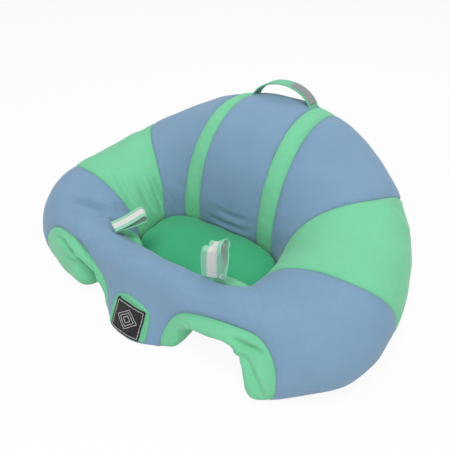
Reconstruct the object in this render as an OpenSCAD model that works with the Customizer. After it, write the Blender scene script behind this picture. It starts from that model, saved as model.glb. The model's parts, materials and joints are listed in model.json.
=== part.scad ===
// Baby floor seat: a stuffed fabric ring with a high back, two leg openings
// under the front bar, a padded seat, a carrying handle and two toy loops.
// +Z is up, the front is -Y, and the seat stands on z = 0.

/* [Ring outline] */
// Overall width, side to side
seat_w = 560; // [520:10:620]
// Ring axis to the outer wall at the front
front_reach = 180; // [172:1:188]
// Ring axis to the outer wall at the back
back_reach = 220; // [210:1:230]
// Squareness of the outer outline, 2 is an ellipse
outer_square = 2.35; // [2.25:0.05:2.6]
// Share by which the front is wider than the middle
front_flare = 0.22; // [0.16:0.01:0.24]

/* [Cavity] */
// Width of the cavity at mid height
cavity_w = 190; // [182:2:206]
// Depth of the cavity at mid height
cavity_d = 92; // [84:1:100]
// Middle of the cavity, forward of the ring axis
cavity_forward = 21; // [15:1:26]
// Squareness of the cavity outline
cavity_square = 3.7; // [3.2:0.1:4.2]
// Share by which the cavity is wider at its front
cavity_flare = -0.16; // [-0.2:0.01:-0.1]

/* [Ring section] */
// Height of the front bar
front_h = 98; // [94:1:108]
// Height of the back
back_h = 225; // [214:1:238]
// Share of the ridge's rise that is even all the way round
even_rise = 0.38; // [0.3:0.02:0.6]
// How late the rest of the rise comes towards the back
rise_power = 3.7; // [3.2:0.1:4.4]
// Fullness of the stuffed section, 2 is an ellipse
section_full = 2.25; // [2.1:0.05:2.5]
// Share by which the back narrows at its ridge
back_taper = -0.1; // [-0.14:0.02:0.1]
// Share by which the front narrows at its ridge
front_taper = 0.4; // [0.3:0.02:0.44]
// How far the back ridge leans outwards
back_lean = 52; // [42:1:62]
// How far the front ridge leans outwards
front_lean = 5; // [2:1:14]
// How late the outward lean grows towards the back
lean_power = 0.8; // [0.6:0.1:1.2]
// Depth of the section pressed flat by the floor
pressed_flat = 10; // [8:0.5:12]

/* [Leg openings] */
// Plan angle where each opening starts
leg_start_deg = 8; // [7:0.5:9]
// Plan angle where the right opening ends
right_leg_end_deg = 28; // [25:1:30]
// Plan angle where the sagging left opening ends
left_leg_end_deg = 20; // [18:1:25]
// Turn of the opening's inner side towards the cavity
leg_start_turn = 12; // [8:1:16]
// Turn of the opening's outer side towards the cavity
leg_end_turn = 33; // [26:1:36]
// Height of each opening
leg_h = 65; // [58:1:68]
// Squareness of the opening's arch
leg_square = 3; // [2.4:0.1:3.4]
// Width of the lining band above the arch
rim_h = 20; // [16:1:24]
// Plan angle of the lining band beside the centre post
rim_in_deg = 2.4; // [1.8:0.1:3]
// Plan angle where the lining ends on the outer side
rim_end_deg = 38; // [35:1:41]

/* [Centre post] */
// How far the foot of the post stands out on the floor
post_kick = 36; // [26:1:40]
// How far the post is drawn in at mid height
post_pinch = 22; // [14:1:26]
// Plan angle over which the foot fades out
kick_fade_deg = 10; // [8:1:14]
// Plan angle over which the drawn-in waist fades out
pinch_fade_deg = 30; // [24:1:36]

/* [Panels] */
// Plan angle of the seam between front and side panels
side_front_deg = 80; // [78:1:83]
// Plan angle of the seam between side and back panels
side_back_deg = 116; // [112:1:120]
// Turn of the front seam, outer wall against inner wall
side_front_turn = 3.5; // [0:0.5:6]
// Turn of the back seam, outer wall against inner wall
side_back_turn = 6; // [2:0.5:9]
// Bow of the front seam on both walls
side_front_bow = 3; // [0:0.5:6]
// Bow of the back seam on both walls
side_back_bow = 5.5; // [1:0.5:7]
// Middle of the seat to the middle of each back band
band_x = 69.5; // [65:0.5:74]
// Width of each back band
band_w = 28; // [22:1:31]
// Thickness of the quilted cover
cover_t = 2.5; // [2:0.1:3.2]
// Gap that stands for each sewn seam
seam_gap = 0.4; // [0.3:0.1:0.6]

/* [Seat cushion] */
// Height of the cushion's rim at the back
cushion_back_h = 55; // [48:1:60]
// Height of the cushion's rim at the front
cushion_front_h = 30; // [24:1:38]
// Rise of the cushion's middle above its rim
cushion_crown = 5; // [2:0.5:10]
// Radius of the cushion's rounded edge
cushion_edge_r = 10; // [6:0.5:14]

/* [Base] */
// Thickness of the base panel
base_t = 4; // [3.6:0.1:4.6]
// Clearance between soft pieces that are sewn or packed together
soft_gap = 0.5; // [0.4:0.05:0.7]

/* [Carrying handle] */
// Section angle where the handle is sewn, 90 is the ridge
handle_section_deg = 80; // [74:1:86]
// Width of the webbing
webbing_w = 25; // [20:1:30]
// Thickness of the webbing
webbing_t = 2.5; // [2:0.1:3.5]
// Height of the handle above its turning line
handle_rise = 14; // [12:1:24]
// Squareness of the handle's arch
handle_full = 2.2; // [2:0.1:2.6]
// Height of the sewn foot under the turning edge
handle_foot_h = 2; // [1.5:0.1:4]
// Arch angle where the tag starts, from the right foot
handle_tag_from = 28; // [15:1:35]
// Arch angle where the tag ends
handle_tag_to = 58; // [45:1:75]
// Thickness of the woven tags
tag_t = 0.8; // [0.6:0.1:1.2]

/* [Toy loops] */
// Middle of the seat to the middle of each loop
loop_x = 87; // [80:1:94]
// Section angle where the loops are sewn, 90 is the ridge
loop_section_deg = 124; // [116:1:132]
// Turn of each loop, following the rim of the cavity
loop_turn = 26; // [10:1:34]
// Width of the ribbon
ribbon_w = 27; // [24:1:32]
// Thickness of the ribbon
ribbon_t = 1.2; // [1:0.1:1.6]
// Length of each loop from its turning line
loop_l = 46; // [38:1:56]
// Radius of the right loop's open end
right_loop_r = 9; // [6:0.5:11]
// Radius of the left loop's open end
left_loop_r = 6; // [5:0.5:9]
// Lean of the right loop towards the cavity
right_loop_lean = 10; // [0:1:40]
// Lean of the left loop towards the cavity
left_loop_lean = 80; // [40:1:84]

/* [Post patch] */
// Width of the bordered patch on the centre post
patch_w = 66; // [60:1:70]
// Height of the patch's lower edge
patch_bottom = 5.5; // [5:0.5:9]
// Height of the patch's curved top
patch_top = 54; // [50:1:58]
// How much lower the patch is at its sides
patch_drop = 9; // [4:0.5:12]
// Thickness of the patch
patch_t = 1.6; // [1.2:0.1:2.2]
// Width of the woven label
label_w = 51; // [44:1:54]
// Height of the label's lower edge
label_bottom = 7; // [6.5:0.5:9]
// Height of the label's upper edge
label_top = 44; // [38:1:45]

/* [Base zip] */
// Length of the zip opening
zip_l = 110; // [100:5:120]
// Zip behind the middle of the cavity
zip_back = 8; // [0:1:20]
// Width of the slot in the base panel
zip_slot_w = 9; // [8:0.5:12]
// Width of each zip tape
zip_tape_w = 10; // [8:0.5:12]
// Length of the slider
slider_l = 9; // [8:0.5:12]
// Width of the pull tab
pull_w = 6; // [5:0.5:7]
// Length of the pull tab
pull_l = 14; // [10:1:16]

/* [Hidden] */

mint = [0.48, 0.86, 0.64];
blue = [0.46, 0.58, 0.74];
white = [0.93, 0.93, 0.91];
black = [0.08, 0.08, 0.09];
grey = [0.5, 0.52, 0.53];

// Round things
arc_fn = 64;
// Steps across the pieces
arch_steps = 11;
post_steps = 3;
corner_steps = 4;
section_steps = 10;
side_cols = 6;
band_cols = 2;
centre_cols = 8;
lining_steps = 10;
cushion_cols = 36;
top_steps = 3;
wall_steps = 3;
base_steps = 32;
edge_steps = 8;
leg_base_steps = 8;
post_cols = 3;
post_rows = 5;
handle_steps = 20;

// Clearance between pieces that move past each other
run_gap = 0.3;
// Height of the linings' hems above the floor
hem_z = 1.1;
// Gap between the linings and the front cover beside each opening
rim_gap_deg = 0.15;
// Gap between the linings' feet and the base panel
hem_gap_deg = 1;
hem_gap = 3.4;
// Clearance of the cushion against the cavity wall
wall_gap = 1.6;
// Clearance of the stuffing inside the covers, more of it at the lips of the
// leg openings, and of the patch outside the cover
fill_gap = 1.3;
lip_gap = 8;
patch_gap = 0.8;
// Small parts of the handle and the loops
handle_tag_margin = 3;
loop_foot_h = 3;
loop_seam_l = 7;
// Least distance of a lining's seam below the ridge
rim_under = 8;
// Plan angle where the turn of the leg openings has faded out
turn_end_deg = 76;
// Small parts of the zip
zip_end = 4;
zip_split = 0.7;
zip_pocket_h = 7;
coil_w = 1.6;
coil_h = 1.6;
plate_t = 1;
ear_r = 0.9;
ear_t = 1;
pin_r = 0.4;
pin_gap = 0.15;
eye_r = 1.1;
pull_t = 0.8;
pull_z = 1.4;

// Lower edge of the ring's covers
cover_low = base_t + soft_gap;
// Outer face of the patch, out from the cover
patch_far = patch_gap + patch_t;

// ---- Ring surface ------------------------------------------------------
// A plan angle of 0 is the front, 90 the +X side and 180 the back. A section
// angle of 0 is the outer wall, 90 the ridge, 180 the cavity wall and 270
// the underside.

function spow(v, e) = sign(v) * pow(abs(v), e);
function mix(a, b, t) = a + (b - a) * t;

// Arch of the given height between two plan angles
function arch(a, a0, a1, h) =
    let(t = (a - (a0 + a1) / 2) / ((a1 - a0) / 2))
    abs(t) >= 1 ? 0 : h * pow(1 - pow(abs(t), leg_square), 1 / leg_square);

function cavity_plan(a) = [
    cavity_w / 2 * spow(sin(a), 2 / cavity_square) * (1 + cavity_flare * cos(a)),
    -cavity_forward - cavity_d / 2 * spow(cos(a), 2 / cavity_square)];
function outer_plan(a) = [
    seat_w / 2 * spow(sin(a), 2 / outer_square) * (1 + front_flare * cos(a)),
    -(cos(a) > 0 ? front_reach : back_reach) * spow(cos(a), 2 / outer_square)];
function backness(a) = (1 - cos(a)) / 2;
function ridge_h(a) =
    let(b = backness(a)) mix(front_h, back_h, mix(pow(b, rise_power), b, even_rise));
function half_width(a) = norm(outer_plan(a) - cavity_plan(a)) / 2;

function fade(a, end) = abs(a) < end ? pow(cos(90 * a / end), 2) : 0;
// Place across the section: -1 at the cavity wall, 1 at the outer wall
function across(a, s, inset) =
    let(w = half_width(a),
        h = (1 + spow(sin(s), 2 / section_full)) / 2,
        taper = mix(front_taper, back_taper, backness(a)),
        lean = mix(front_lean, back_lean, pow(backness(a), lean_power)),
        outer = min(1, max(0, 2 * cos(s))),
        foot = outer * (fade(a, kick_fade_deg) * post_kick * pow(1 - h, 2)
                        - fade(a, pinch_fade_deg) * post_pinch * 4 * h * (1 - h)))
    spow(cos(s), 2 / section_full) * (1 - taper * h) * (1 - inset / w)
        + (lean * h + foot) / w;
function plan_point(a, k) = mix(cavity_plan(a), outer_plan(a), (1 + k) / 2);

// The leg openings turn towards the cavity's sides on their way inwards
rim_start = leg_start_deg - rim_in_deg;
function leg_end(a) = a < 0 ? left_leg_end_deg : right_leg_end_deg;
function leg_turn(b, end) =
    b < leg_start_deg ? leg_start_turn * b / leg_start_deg
    : b < end ? mix(leg_start_turn, leg_end_turn, (b - leg_start_deg) / (end - leg_start_deg))
    : b < turn_end_deg ? leg_end_turn * (turn_end_deg - b) / (turn_end_deg - end) : 0;
function turned(a, k) = a + sign(a) * leg_turn(abs(a), leg_end(a)) * (1 - k) / 2;
function turned_point(a, k) = plan_point(turned(a, k), k);
function deg_per_mm(a, k, way) = 1 / norm(turned_point(a + way, k) - turned_point(a, k));

// Heights of an opening's roof and of the seam round its lining
function roof_z(a, inset) = arch(abs(a), leg_start_deg, leg_end(a), leg_h + inset);
function rim_z(a, gap = 0) =
    min(arch(abs(a), rim_start + gap, rim_end_deg - gap, leg_h + rim_h), ridge_h(a) - rim_under);

// Moves a plan angle with the wall of a leg opening, which an inset widens
function moved_angle(a, k, inset) =
    let(b = abs(a), s = a < 0 ? -1 : 1, end = leg_end(a), out = rim_end_deg - end,
        d0 = min(inset * deg_per_mm(s * leg_start_deg, k, -s), 0.85 * rim_in_deg),
        d1 = min(inset * deg_per_mm(s * end, k, s), 0.85 * out))
    b <= rim_start || b >= rim_end_deg ? a
    : b < leg_start_deg ? s * mix(rim_start, leg_start_deg - d0, (b - rim_start) / rim_in_deg)
    : b > end ? s * mix(end + d1, rim_end_deg, (b - end) / out)
    : s * mix(leg_start_deg - d0, end + d1, (b - leg_start_deg) / (end - leg_start_deg));

// A point of the ring, inset from its surface, no lower than floor_z, and
// drawn further in towards the middle of the section.
// Below the seam of a lining the section is squeezed up over the roof.
function ring_point(a, s, inset = 0, floor_z = 0, drawn = 0) =
    let(k = across(a, s, inset + drawn),
        xy = turned_point(moved_angle(a, k, inset), k),
        h = (1 + spow(sin(s), 2 / section_full)) / 2,
        z = max((ridge_h(a) - inset + pressed_flat) * h - pressed_flat, floor_z),
        roof = roof_z(a, inset), rim = rim_z(a))
    [xy[0], xy[1] - mid_y, roof == 0 || z > rim ? z : mix(roof, rim, z / rim)];

// Section angle on the outer wall at which the surface is at height z
function angle_at(a, z) =
    let(roof = roof_z(a, 0), rim = rim_z(a),
        plain_z = roof == 0 || z > rim ? z : rim * (max(z, roof) - roof) / (rim - roof),
        h = (plain_z + pressed_flat) / (ridge_h(a) + pressed_flat))
    asin(max(-1, min(1, spow(2 * h - 1, section_full / 2))));

// Plan angle between lo and hi where the surface has the given X
function plan_at_x(x, s, lo, hi, n = 16) =
    let(mid = (lo + hi) / 2,
        falls = lo >= 90,
        beyond = ring_point(mid, s)[0] > x)
    n == 0 ? mid : beyond == falls ? plan_at_x(x, s, mid, hi, n - 1)
                                   : plan_at_x(x, s, lo, mid, n - 1);
function front_angle(x, s) = plan_at_x(x, s, 0, 60);
function back_angle(x, s) = plan_at_x(x, s, 100, 180);

// Height of the front bar's surface at x and y, on its cavity side
function front_z(x, y, lo = 60, hi = 170, n = 14) =
    let(mid = (lo + hi) / 2,
        p = ring_point(front_angle(x, mid), mid))
    n == 0 ? p[2] : p[1] < y ? front_z(x, y, mid, hi, n - 1)
                             : front_z(x, y, lo, mid, n - 1);
// Shift that centres the whole seat over the frame's origin
front_y = ring_raw_y(0, angle_at(0, cover_low)) - patch_far - run_gap - tag_t;
back_y = max([for (s = [0 : 5 : 60]) ring_raw_y(180, s)]);
mid_y = (front_y + back_y) / 2;
function ring_raw_y(a, s) = plan_point(a, across(a, s, 0))[1];

// ---- Seams -------------------------------------------------------------
function side_front(s) =
    side_front_deg + side_front_turn * cos(s) + side_front_bow * pow(cos(s), 2);
function side_back(s) =
    side_back_deg + side_back_turn * cos(s) + side_back_bow * pow(cos(s), 2);
// Half a seam gap to one side of a plan angle
function beside(a, s, way) = a + way * seam_gap / 2 * deg_per_mm(a, across(a, s, 0), way);

// ---- Grids and solids --------------------------------------------------
// Each grid is a list of columns, one for each plan angle, of points that
// follow the section from the outer wall to the cavity wall.

function spread(a0, a1, n) = [for (i = [0 : n]) mix(a0, a1, i / n)];
function reversed(list) = [for (i = [len(list) - 1 : -1 : 0]) list[i]];
function flatten(rows) = [for (row = rows) each row];

// Columns of a cover panel. Each column is a function that gives the plan
// angle at a section angle, and low_of gives the height of the lower edge.
function panel_s(column, low_of, t) =
    let(near = column(mix(-70, 250, t)), low = angle_at(near, low_of(near)))
    mix(low, 180 - low, t);
function panel(columns, low_of, inset) = [
    for (column = columns) [
        for (j = [0 : section_steps])
            let(s = panel_s(column, low_of, j / section_steps))
            ring_point(column(s), s, inset)]];

// Two triangles for a square cell, cut along its other diagonal when flipped
function cell(a, b, c, d, flipped) =
    flipped ? [[a, d, b], [b, d, c]] : [[a, d, c], [a, c, b]];
// Closed skin between an outer and an inner grid, whose cells are flipped
// from column half on
module skin(outer, inner, half = 1000) {
    n = len(outer) - 1;
    m = len(outer[0]) - 1;
    off = (n + 1) * (m + 1);
    function id(i, j) = i * (m + 1) + j;
    walls = [for (i = [0 : n - 1], j = [0 : m - 1])
        let(a = id(i, j), b = id(i + 1, j), c = id(i + 1, j + 1), d = id(i, j + 1))
        each concat(cell(a, b, c, d, i >= half),
                    [for (f = cell(a, b, c, d, i >= half)) [off + f[2], off + f[1], off + f[0]]])];
    rims = [
        for (i = [0 : n - 1])
            let(a = id(i, 0), b = id(i + 1, 0), c = id(i + 1, m), d = id(i, m))
            each [[a, b, off + b], [a, off + b, off + a], [c, d, off + d], [c, off + d, off + c]],
        for (j = [0 : m - 1])
            let(a = id(0, j), d = id(0, j + 1), b = id(n, j), c = id(n, j + 1))
            each [[d, a, off + a], [d, off + a, off + d], [b, c, off + c], [b, off + c, off + b]]];
    polyhedron(points = flatten(concat(outer, inner)), faces = concat(walls, rims));
}

function mean(pts) = [for (k = [0 : 2]) max([for (p = pts) p[k]]) / 2
                                        + min([for (p = pts) p[k]]) / 2];

// Closed tube through rings of points, with fanned ends
module tube(rings, half = 1000) {
    n = len(rings) - 1;
    m = len(rings[0]);
    function id(i, j) = i * m + j % m;
    first = (n + 1) * m;
    last = first + 1;
    walls = [for (i = [0 : n - 1], j = [0 : m - 1])
        let(a = id(i, j), b = id(i + 1, j), c = id(i + 1, j + 1), d = id(i, j + 1))
        each cell(a, b, c, d, i >= half)];
    ends = [for (j = [0 : m - 1])
        each [[id(0, j + 1), id(0, j), first], [id(n, j), id(n, j + 1), last]]];
    polyhedron(points = concat(flatten(rings), [mean(rings[0]), mean(rings[n])]),
               faces = concat(walls, ends));
}

// ---- Ring covers and fillings ------------------------------------------
// Plan angles across one leg opening and its lining, close where it is steep
function arch_angles(a0, a1, steps) = [for (i = [0 : steps])
    (a0 + a1) / 2 - (a1 - a0) / 2 * spow(cos(180 * i / steps), 2 / leg_square)];
function leg_angles(end, gap) =
    let(rim = arch_angles(rim_start + gap, rim_end_deg - gap, arch_steps))
    [for (a = rim) if (a < leg_start_deg - 0.2) a,
     each arch_angles(leg_start_deg, end, arch_steps),
     for (a = rim) if (a > end + 0.2) a];
post_angles = [for (i = [1 : post_steps - 1]) rim_start * i / post_steps];
function half_columns(end, side) = concat(
    [for (a = concat(post_angles, leg_angles(end, 0))) function (s) side * a],
    [for (i = [1 : corner_steps]) function (s)
        side * mix(rim_end_deg, beside(side_front(s), s, -1), i / corner_steps)]);
front_columns = concat(reversed(half_columns(left_leg_end_deg, -1)), [function (s) 0],
                       half_columns(right_leg_end_deg, 1));

function side_plan(i, s) =
    mix(beside(side_front(s), s, 1), beside(side_back(s), s, -1), i / side_cols);
function back_plan(i, s) =
    mix(beside(side_back(s), s, 1), back_angle(band_x + band_w / 2 + seam_gap / 2, s),
        i / side_cols);
function band_plan(i, s) =
    mix(back_angle(band_x + band_w / 2 - seam_gap / 2, s),
        back_angle(band_x - band_w / 2 + seam_gap / 2, s), i / band_cols);
function centre_plan(i, s) =
    let(edge = back_angle(band_x - band_w / 2 - seam_gap / 2, s))
    mix(edge, 360 - edge, i / centre_cols);

function columns(n, plan) = [for (i = [0 : n]) function (s) plan(i, s)];
function mirrored(list) = [for (i = [len(list) - 1 : -1 : 0])
    let(column = list[i]) function (s) 360 - column(s)];
function without_first(list) = [for (i = [1 : len(list) - 1]) list[i]];
side_columns = columns(side_cols, function (i, s) side_plan(i, s));
back_columns = columns(side_cols, function (i, s) back_plan(i, s));
band_columns = columns(band_cols, function (i, s) band_plan(i, s));
centre_columns = columns(centre_cols, function (i, s) centre_plan(i, s));

// Lower edge of the covers, which rises over the leg openings
function front_low(a) = rim_z(a) > 0 ? max(cover_low, rim_z(a) + seam_gap) : cover_low;
function cover_edge(a) = cover_low;

module cover(columns, colour, low_of, half = 1000) {
    color(colour) skin(panel(columns, low_of, 0), panel(columns, low_of, cover_t), half);
}
module front_cover() { cover(front_columns, blue, function (a) front_low(a)); }
module right_side_cover() { cover(side_columns, mint, function (a) cover_edge(a)); }
module right_back_cover() { cover(back_columns, blue, function (a) cover_edge(a)); }
module right_back_band() { cover(band_columns, mint, function (a) cover_edge(a)); }
module centre_back_cover() {
    cover(centre_columns, blue, function (a) cover_edge(a), centre_cols / 2);
}
module left_side_cover() { mirror([1, 0, 0]) right_side_cover(); }
module left_back_cover() { mirror([1, 0, 0]) right_back_cover(); }
module left_back_band() { mirror([1, 0, 0]) right_back_band(); }

// Sleeve that lines a leg opening, from its outer rim over the roof to its
// inner rim, with a narrow hem just off the floor on both sides
function lining_s(a, low_z, t) =
    let(low = angle_at(a, max(rim_z(a, rim_gap_deg) - seam_gap, low_z)))
    mix(180 - low, 360 + low, t);
function lining_grid(angles, inset, floor_z) = [
    for (a = angles) [for (j = [0 : lining_steps])
        ring_point(a, lining_s(a, hem_z, j / lining_steps), inset, floor_z)]];
module lining(angles) {
    color(mint)
        skin(lining_grid(angles, 0, hem_z), lining_grid(angles, cover_t, hem_z + cover_t));
}
module right_leg_lining() { lining(leg_angles(right_leg_end_deg, rim_gap_deg)); }
module left_leg_lining() {
    lining([for (a = reversed(leg_angles(left_leg_end_deg, rim_gap_deg))) -a]);
}

// Rings of stuffing just inside the covers and the linings
fill_inset = cover_t + fill_gap;
fill_low = base_t + soft_gap;
lining_low = hem_z + cover_t + fill_gap;
function fill_floor(a) =
    abs(a) > leg_start_deg && abs(a) < leg_end(a) ? lining_low : fill_low;
function lip_drawn(a, j) = at_opening(a) && (j == 0 || j == section_steps) ? lip_gap : 0;
function fill_wall(column, low_of) = [
    for (j = [0 : section_steps])
        let(s = panel_s(column, low_of, j / section_steps))
        ring_point(column(s), s, fill_inset, fill_floor(column(s)), lip_drawn(column(s), j))];
// Whether a plan angle lies in or right beside a leg opening
function at_opening(a) =
    abs(a) > rim_start - rim_gap_deg && abs(a) < rim_end_deg + rim_gap_deg;
// Underside of a column: over a leg opening's roof, or straight across
function fill_under(column, outer, inner) = [
    for (j = [1 : lining_steps - 1])
        let(s = lining_s(column(270), cover_low, j / lining_steps))
        at_opening(column(270))
            ? ring_point(column(s), s, fill_inset, fill_floor(column(s)),
                         lip_gap * (1 - sin(180 * j / lining_steps)))
            : mix(inner, outer, j / lining_steps)];
function fill_rings(columns, low_of) = [
    for (column = columns)
        let(wall = fill_wall(column, low_of))
        concat(wall, fill_under(column, wall[0], wall[section_steps]))];
module filling(columns, low_of, half = 1000) {
    color(white) tube(fill_rings(columns, low_of), half);
}
module front_filling() { filling(front_columns, function (a) front_low(a)); }
module right_side_filling() { filling(side_columns, function (a) cover_edge(a)); }
module left_side_filling() { mirror([1, 0, 0]) right_side_filling(); }
module back_filling() {
    half = concat(back_columns, without_first(band_columns));
    filling(concat(half, without_first(centre_columns), without_first(mirrored(half))),
            function (a) cover_edge(a), len(half) - 1 + centre_cols / 2);
}

// ---- Seat cushion ------------------------------------------------------
// Cavity wall at height z, without its leg openings, kept clear by a gap
function wall_at(a, z, gap) =
    let(h = (z + pressed_flat) / (ridge_h(a) + pressed_flat),
        s = 180 - asin(spow(2 * h - 1, section_full / 2)),
        p = turned_point(a, across(a, s, -gap)))
    [p[0], p[1] - mid_y];
function rim_height(a) = mix(cushion_front_h, cushion_back_h, backness(a));
cushion_mid = (wall_at(0, cushion_front_h, 0) + wall_at(180, cushion_back_h, 0)) / 2;
cushion_mid_h = (cushion_front_h + cushion_back_h) / 2;

// A point on the cushion's side at height z, drawn in towards its middle
function side_point(a, z, inset, drawn) =
    let(p = wall_at(a, z, wall_gap + inset), d = cushion_mid - p)
    [each p + d / norm(d) * drawn, z];
function cushion_shoulder(a, turn, inset) =
    let(r = cushion_edge_r - inset)
    side_point(a, rim_height(a) - cushion_edge_r + r * sin(turn), inset, r * (1 - cos(turn)));
function cushion_top(a, f, inset) =
    let(p = cushion_shoulder(a, 90, inset))
    [each mix(cushion_mid, [p[0], p[1]], f),
     mix(cushion_mid_h - inset, p[2], f) + cushion_crown * (1 - f * f)];
cushion_angles = [for (i = [0 : cushion_cols - 1]) 360 * i / cushion_cols];
// Rings from the middle of the top, over the shoulder and down to low_z
function cushion_rings(inset, low_z) = concat(
    [for (i = [1 : top_steps - 1])
        [for (a = cushion_angles) cushion_top(a, i / top_steps, inset)]],
    [for (turn = [90 : -30 : 30]) [for (a = cushion_angles) cushion_shoulder(a, turn, inset)]],
    [for (i = [0 : wall_steps]) [for (a = cushion_angles)
        side_point(a, mix(rim_height(a) - cushion_edge_r, low_z, i / wall_steps), inset, 0)]]);

module seat_cover() {
    color(mint) tube(concat(cushion_rings(0, cover_low), reversed(cushion_rings(cover_t, cover_low))));
}
module seat_filling() {
    color(white) difference() {
        tube(cushion_rings(fill_inset, fill_low));
        translate([0, zip_y, fill_low])
            cube([zip_l + 4 * zip_end, 2 * (zip_tape_w + zip_end), 2 * zip_pocket_h], center = true);
    }
}

// ---- Base panel --------------------------------------------------------
// Places where the ring meets the base: on the outer wall at the floor, and
// on the cavity wall just clear of the linings
function foot_k(a) = across(a, angle_at(a, 0), 0);
function hem_k(a) = across(a, 180 - angle_at(a, cover_low), -hem_gap);
function foot_point(a, k) = let(p = turned_point(a, k)) [p[0], p[1] - mid_y];
function foot_edge(a, k0, k1) = [for (k = spread(k0, k1, edge_steps)) foot_point(a, k)];
function base_half(side) =
    let(before = rim_start - hem_gap_deg, after = rim_end_deg + hem_gap_deg)
    [for (a = spread(before / post_steps, before, post_steps - 1))
        foot_point(side * a, foot_k(a)),
     each foot_edge(side * before, foot_k(before), hem_k(before)),
     for (a = spread(before, after, leg_base_steps)) foot_point(side * a, hem_k(a)),
     each foot_edge(side * after, hem_k(after), foot_k(after)),
     for (a = spread(after, 179, base_steps)) foot_point(side * a, foot_k(a))];
module base_cover() {
    color(blue) difference() {
        linear_extrude(base_t) polygon(concat(base_half(1), reversed(base_half(-1))));
        translate([0, zip_y, 0])
            cube([zip_l + 2 * zip_end, zip_slot_w, 4 * base_t], center = true);
    }
}

// ---- Carrying handle ---------------------------------------------------
handle_x = band_x - band_w / 2;
handle_ridge = ring_point(back_angle(handle_x, handle_section_deg), handle_section_deg);
handle_y = handle_ridge[1];
// Height of the cover beside a band, on its facets from row j on, at y
function beside_band_point(j) =
    let(column = centre_columns[0], s = panel_s(column, function (a) cover_low, j / section_steps))
    ring_point(column(s), s);
function beside_band_z(y, j = 0) =
    let(p = beside_band_point(j), q = beside_band_point(j + 1))
    q[1] > y ? beside_band_z(y, j + 1) : mix(p[2], q[2], (p[1] - y) / (p[1] - q[1]));
handle_seat = [for (i = [-4 : 4])
    let(y = handle_y + webbing_w / 2 * i / 4) [y, beside_band_z(y) + soft_gap]];
handle_foot_top = max([for (p = handle_seat) p[1]]) + handle_foot_h;
handle_z = handle_foot_top + run_gap + webbing_w / 2;

// Arch of webbing in the X-Z plane, grown outwards by d
function handle_arch(d, t0, t1, n) = [for (i = [0 : n])
    let(t = mix(t0, t1, i / n))
    [(handle_x + webbing_t / 2 + d) * spow(cos(t), 2 / handle_full),
     (handle_rise + d) * spow(sin(t), 2 / handle_full)]];
module xz_strip(points, w) {
    translate([0, handle_y, handle_z]) rotate([90, 0, 0])
        linear_extrude(w, center = true) polygon(points);
}
module both_ends() { for (side = [-1, 1]) translate([side * handle_x, 0, 0]) children(); }
module handle_strap() {
    color(mint) {
        xz_strip(concat(handle_arch(0, 0, 180, handle_steps),
                        reversed(handle_arch(-webbing_t, 0, 180, handle_steps))), webbing_w);
        both_ends() translate([0, handle_y, handle_z]) rotate([0, 90, 0])
            cylinder(r = webbing_w / 2, h = webbing_t, center = true, $fn = arc_fn);
    }
}
module handle_feet() {
    color(mint) both_ends() rotate([90, 0, 90]) linear_extrude(webbing_t, center = true)
        polygon([each handle_seat, [handle_y + webbing_w / 2, handle_foot_top],
                 [handle_y - webbing_w / 2, handle_foot_top]]);
}
module handle_tag() {
    n = 8;
    color(grey) xz_strip(concat(handle_arch(run_gap + tag_t, handle_tag_from, handle_tag_to, n),
                                reversed(handle_arch(run_gap, handle_tag_from, handle_tag_to, n))),
                         webbing_w - 2 * handle_tag_margin);
}

// ---- Toy loops ---------------------------------------------------------
neck_r = ribbon_t + run_gap;
loop_y = ring_point(front_angle(loop_x, loop_section_deg), loop_section_deg)[1];
// Plan point beside a loop's middle, along the ribbon's width and across it
function loop_point(along, over) = [
    loop_x + along * cos(loop_turn) - over * sin(loop_turn),
    loop_y + along * sin(loop_turn) + over * cos(loop_turn)];
loop_crest = max([for (side = [-1 : 1])
    let(p = loop_point(side * ribbon_w / 2, -neck_r)) front_z(p[0], p[1])]);
loop_foot_top = loop_crest + soft_gap + loop_foot_h;
loop_z = loop_foot_top + run_gap + neck_r;

module yz_extrude(w) { rotate([90, 0, 90]) linear_extrude(w, center = true) children(); }
// A drop outline: an open end of radius r, tapering to a neck of radius r0
module drop(r, r0, l) {
    d = l - r;
    b = asin((r - r0) / d);
    polygon([for (t = [0 : 16]) let(f = mix(-b, 180 + b, t / 16)) [r * cos(f), d + r * sin(f)],
             for (t = [0 : 6]) let(f = mix(180 + b, 360 - b, t / 6)) [r0 * cos(f), r0 * sin(f)]]);
}
module toy_loop(r, lean) {
    color(mint) translate([loop_x, loop_y, loop_z]) rotate([-lean, 0, loop_turn]) {
        yz_extrude(ribbon_w) difference() {
            drop(r, ribbon_t, loop_l);
            translate([0, loop_seam_l])
                drop(r - ribbon_t, ribbon_t / 4, loop_l - ribbon_t - loop_seam_l);
        }
        rotate([0, 90, 0]) cylinder(r = neck_r, h = ribbon_w, center = true, $fn = arc_fn);
    }
}
module right_toy_loop() { toy_loop(right_loop_r, right_loop_lean); }
module left_toy_loop() { mirror([1, 0, 0]) toy_loop(left_loop_r, left_loop_lean); }
module loop_feet() {
    color(mint) for (side = [0, 1]) mirror([side, 0, 0])
        translate([loop_x, loop_y, loop_foot_top - loop_foot_h / 2]) rotate(loop_turn)
            cube([ribbon_w, 2 * neck_r, loop_foot_h], center = true);
}

// ---- Post patch and label ----------------------------------------------
// Point on the front cover's facets at x and height z, out from them by d
function post_row(j) = panel_s(function (s) 0, function (a) cover_low, j / section_steps);
function row_point(x, j, d) =
    ring_point(sign(x) * front_angle(abs(x), post_row(j)), post_row(j), -d);
function post_point(x, z, d, j = 0) =
    let(p = row_point(x, j, d), q = row_point(x, j + 1, d))
    q[2] < z ? post_point(x, z, d, j + 1) : mix(p, q, (z - p[2]) / (q[2] - p[2]));

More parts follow.
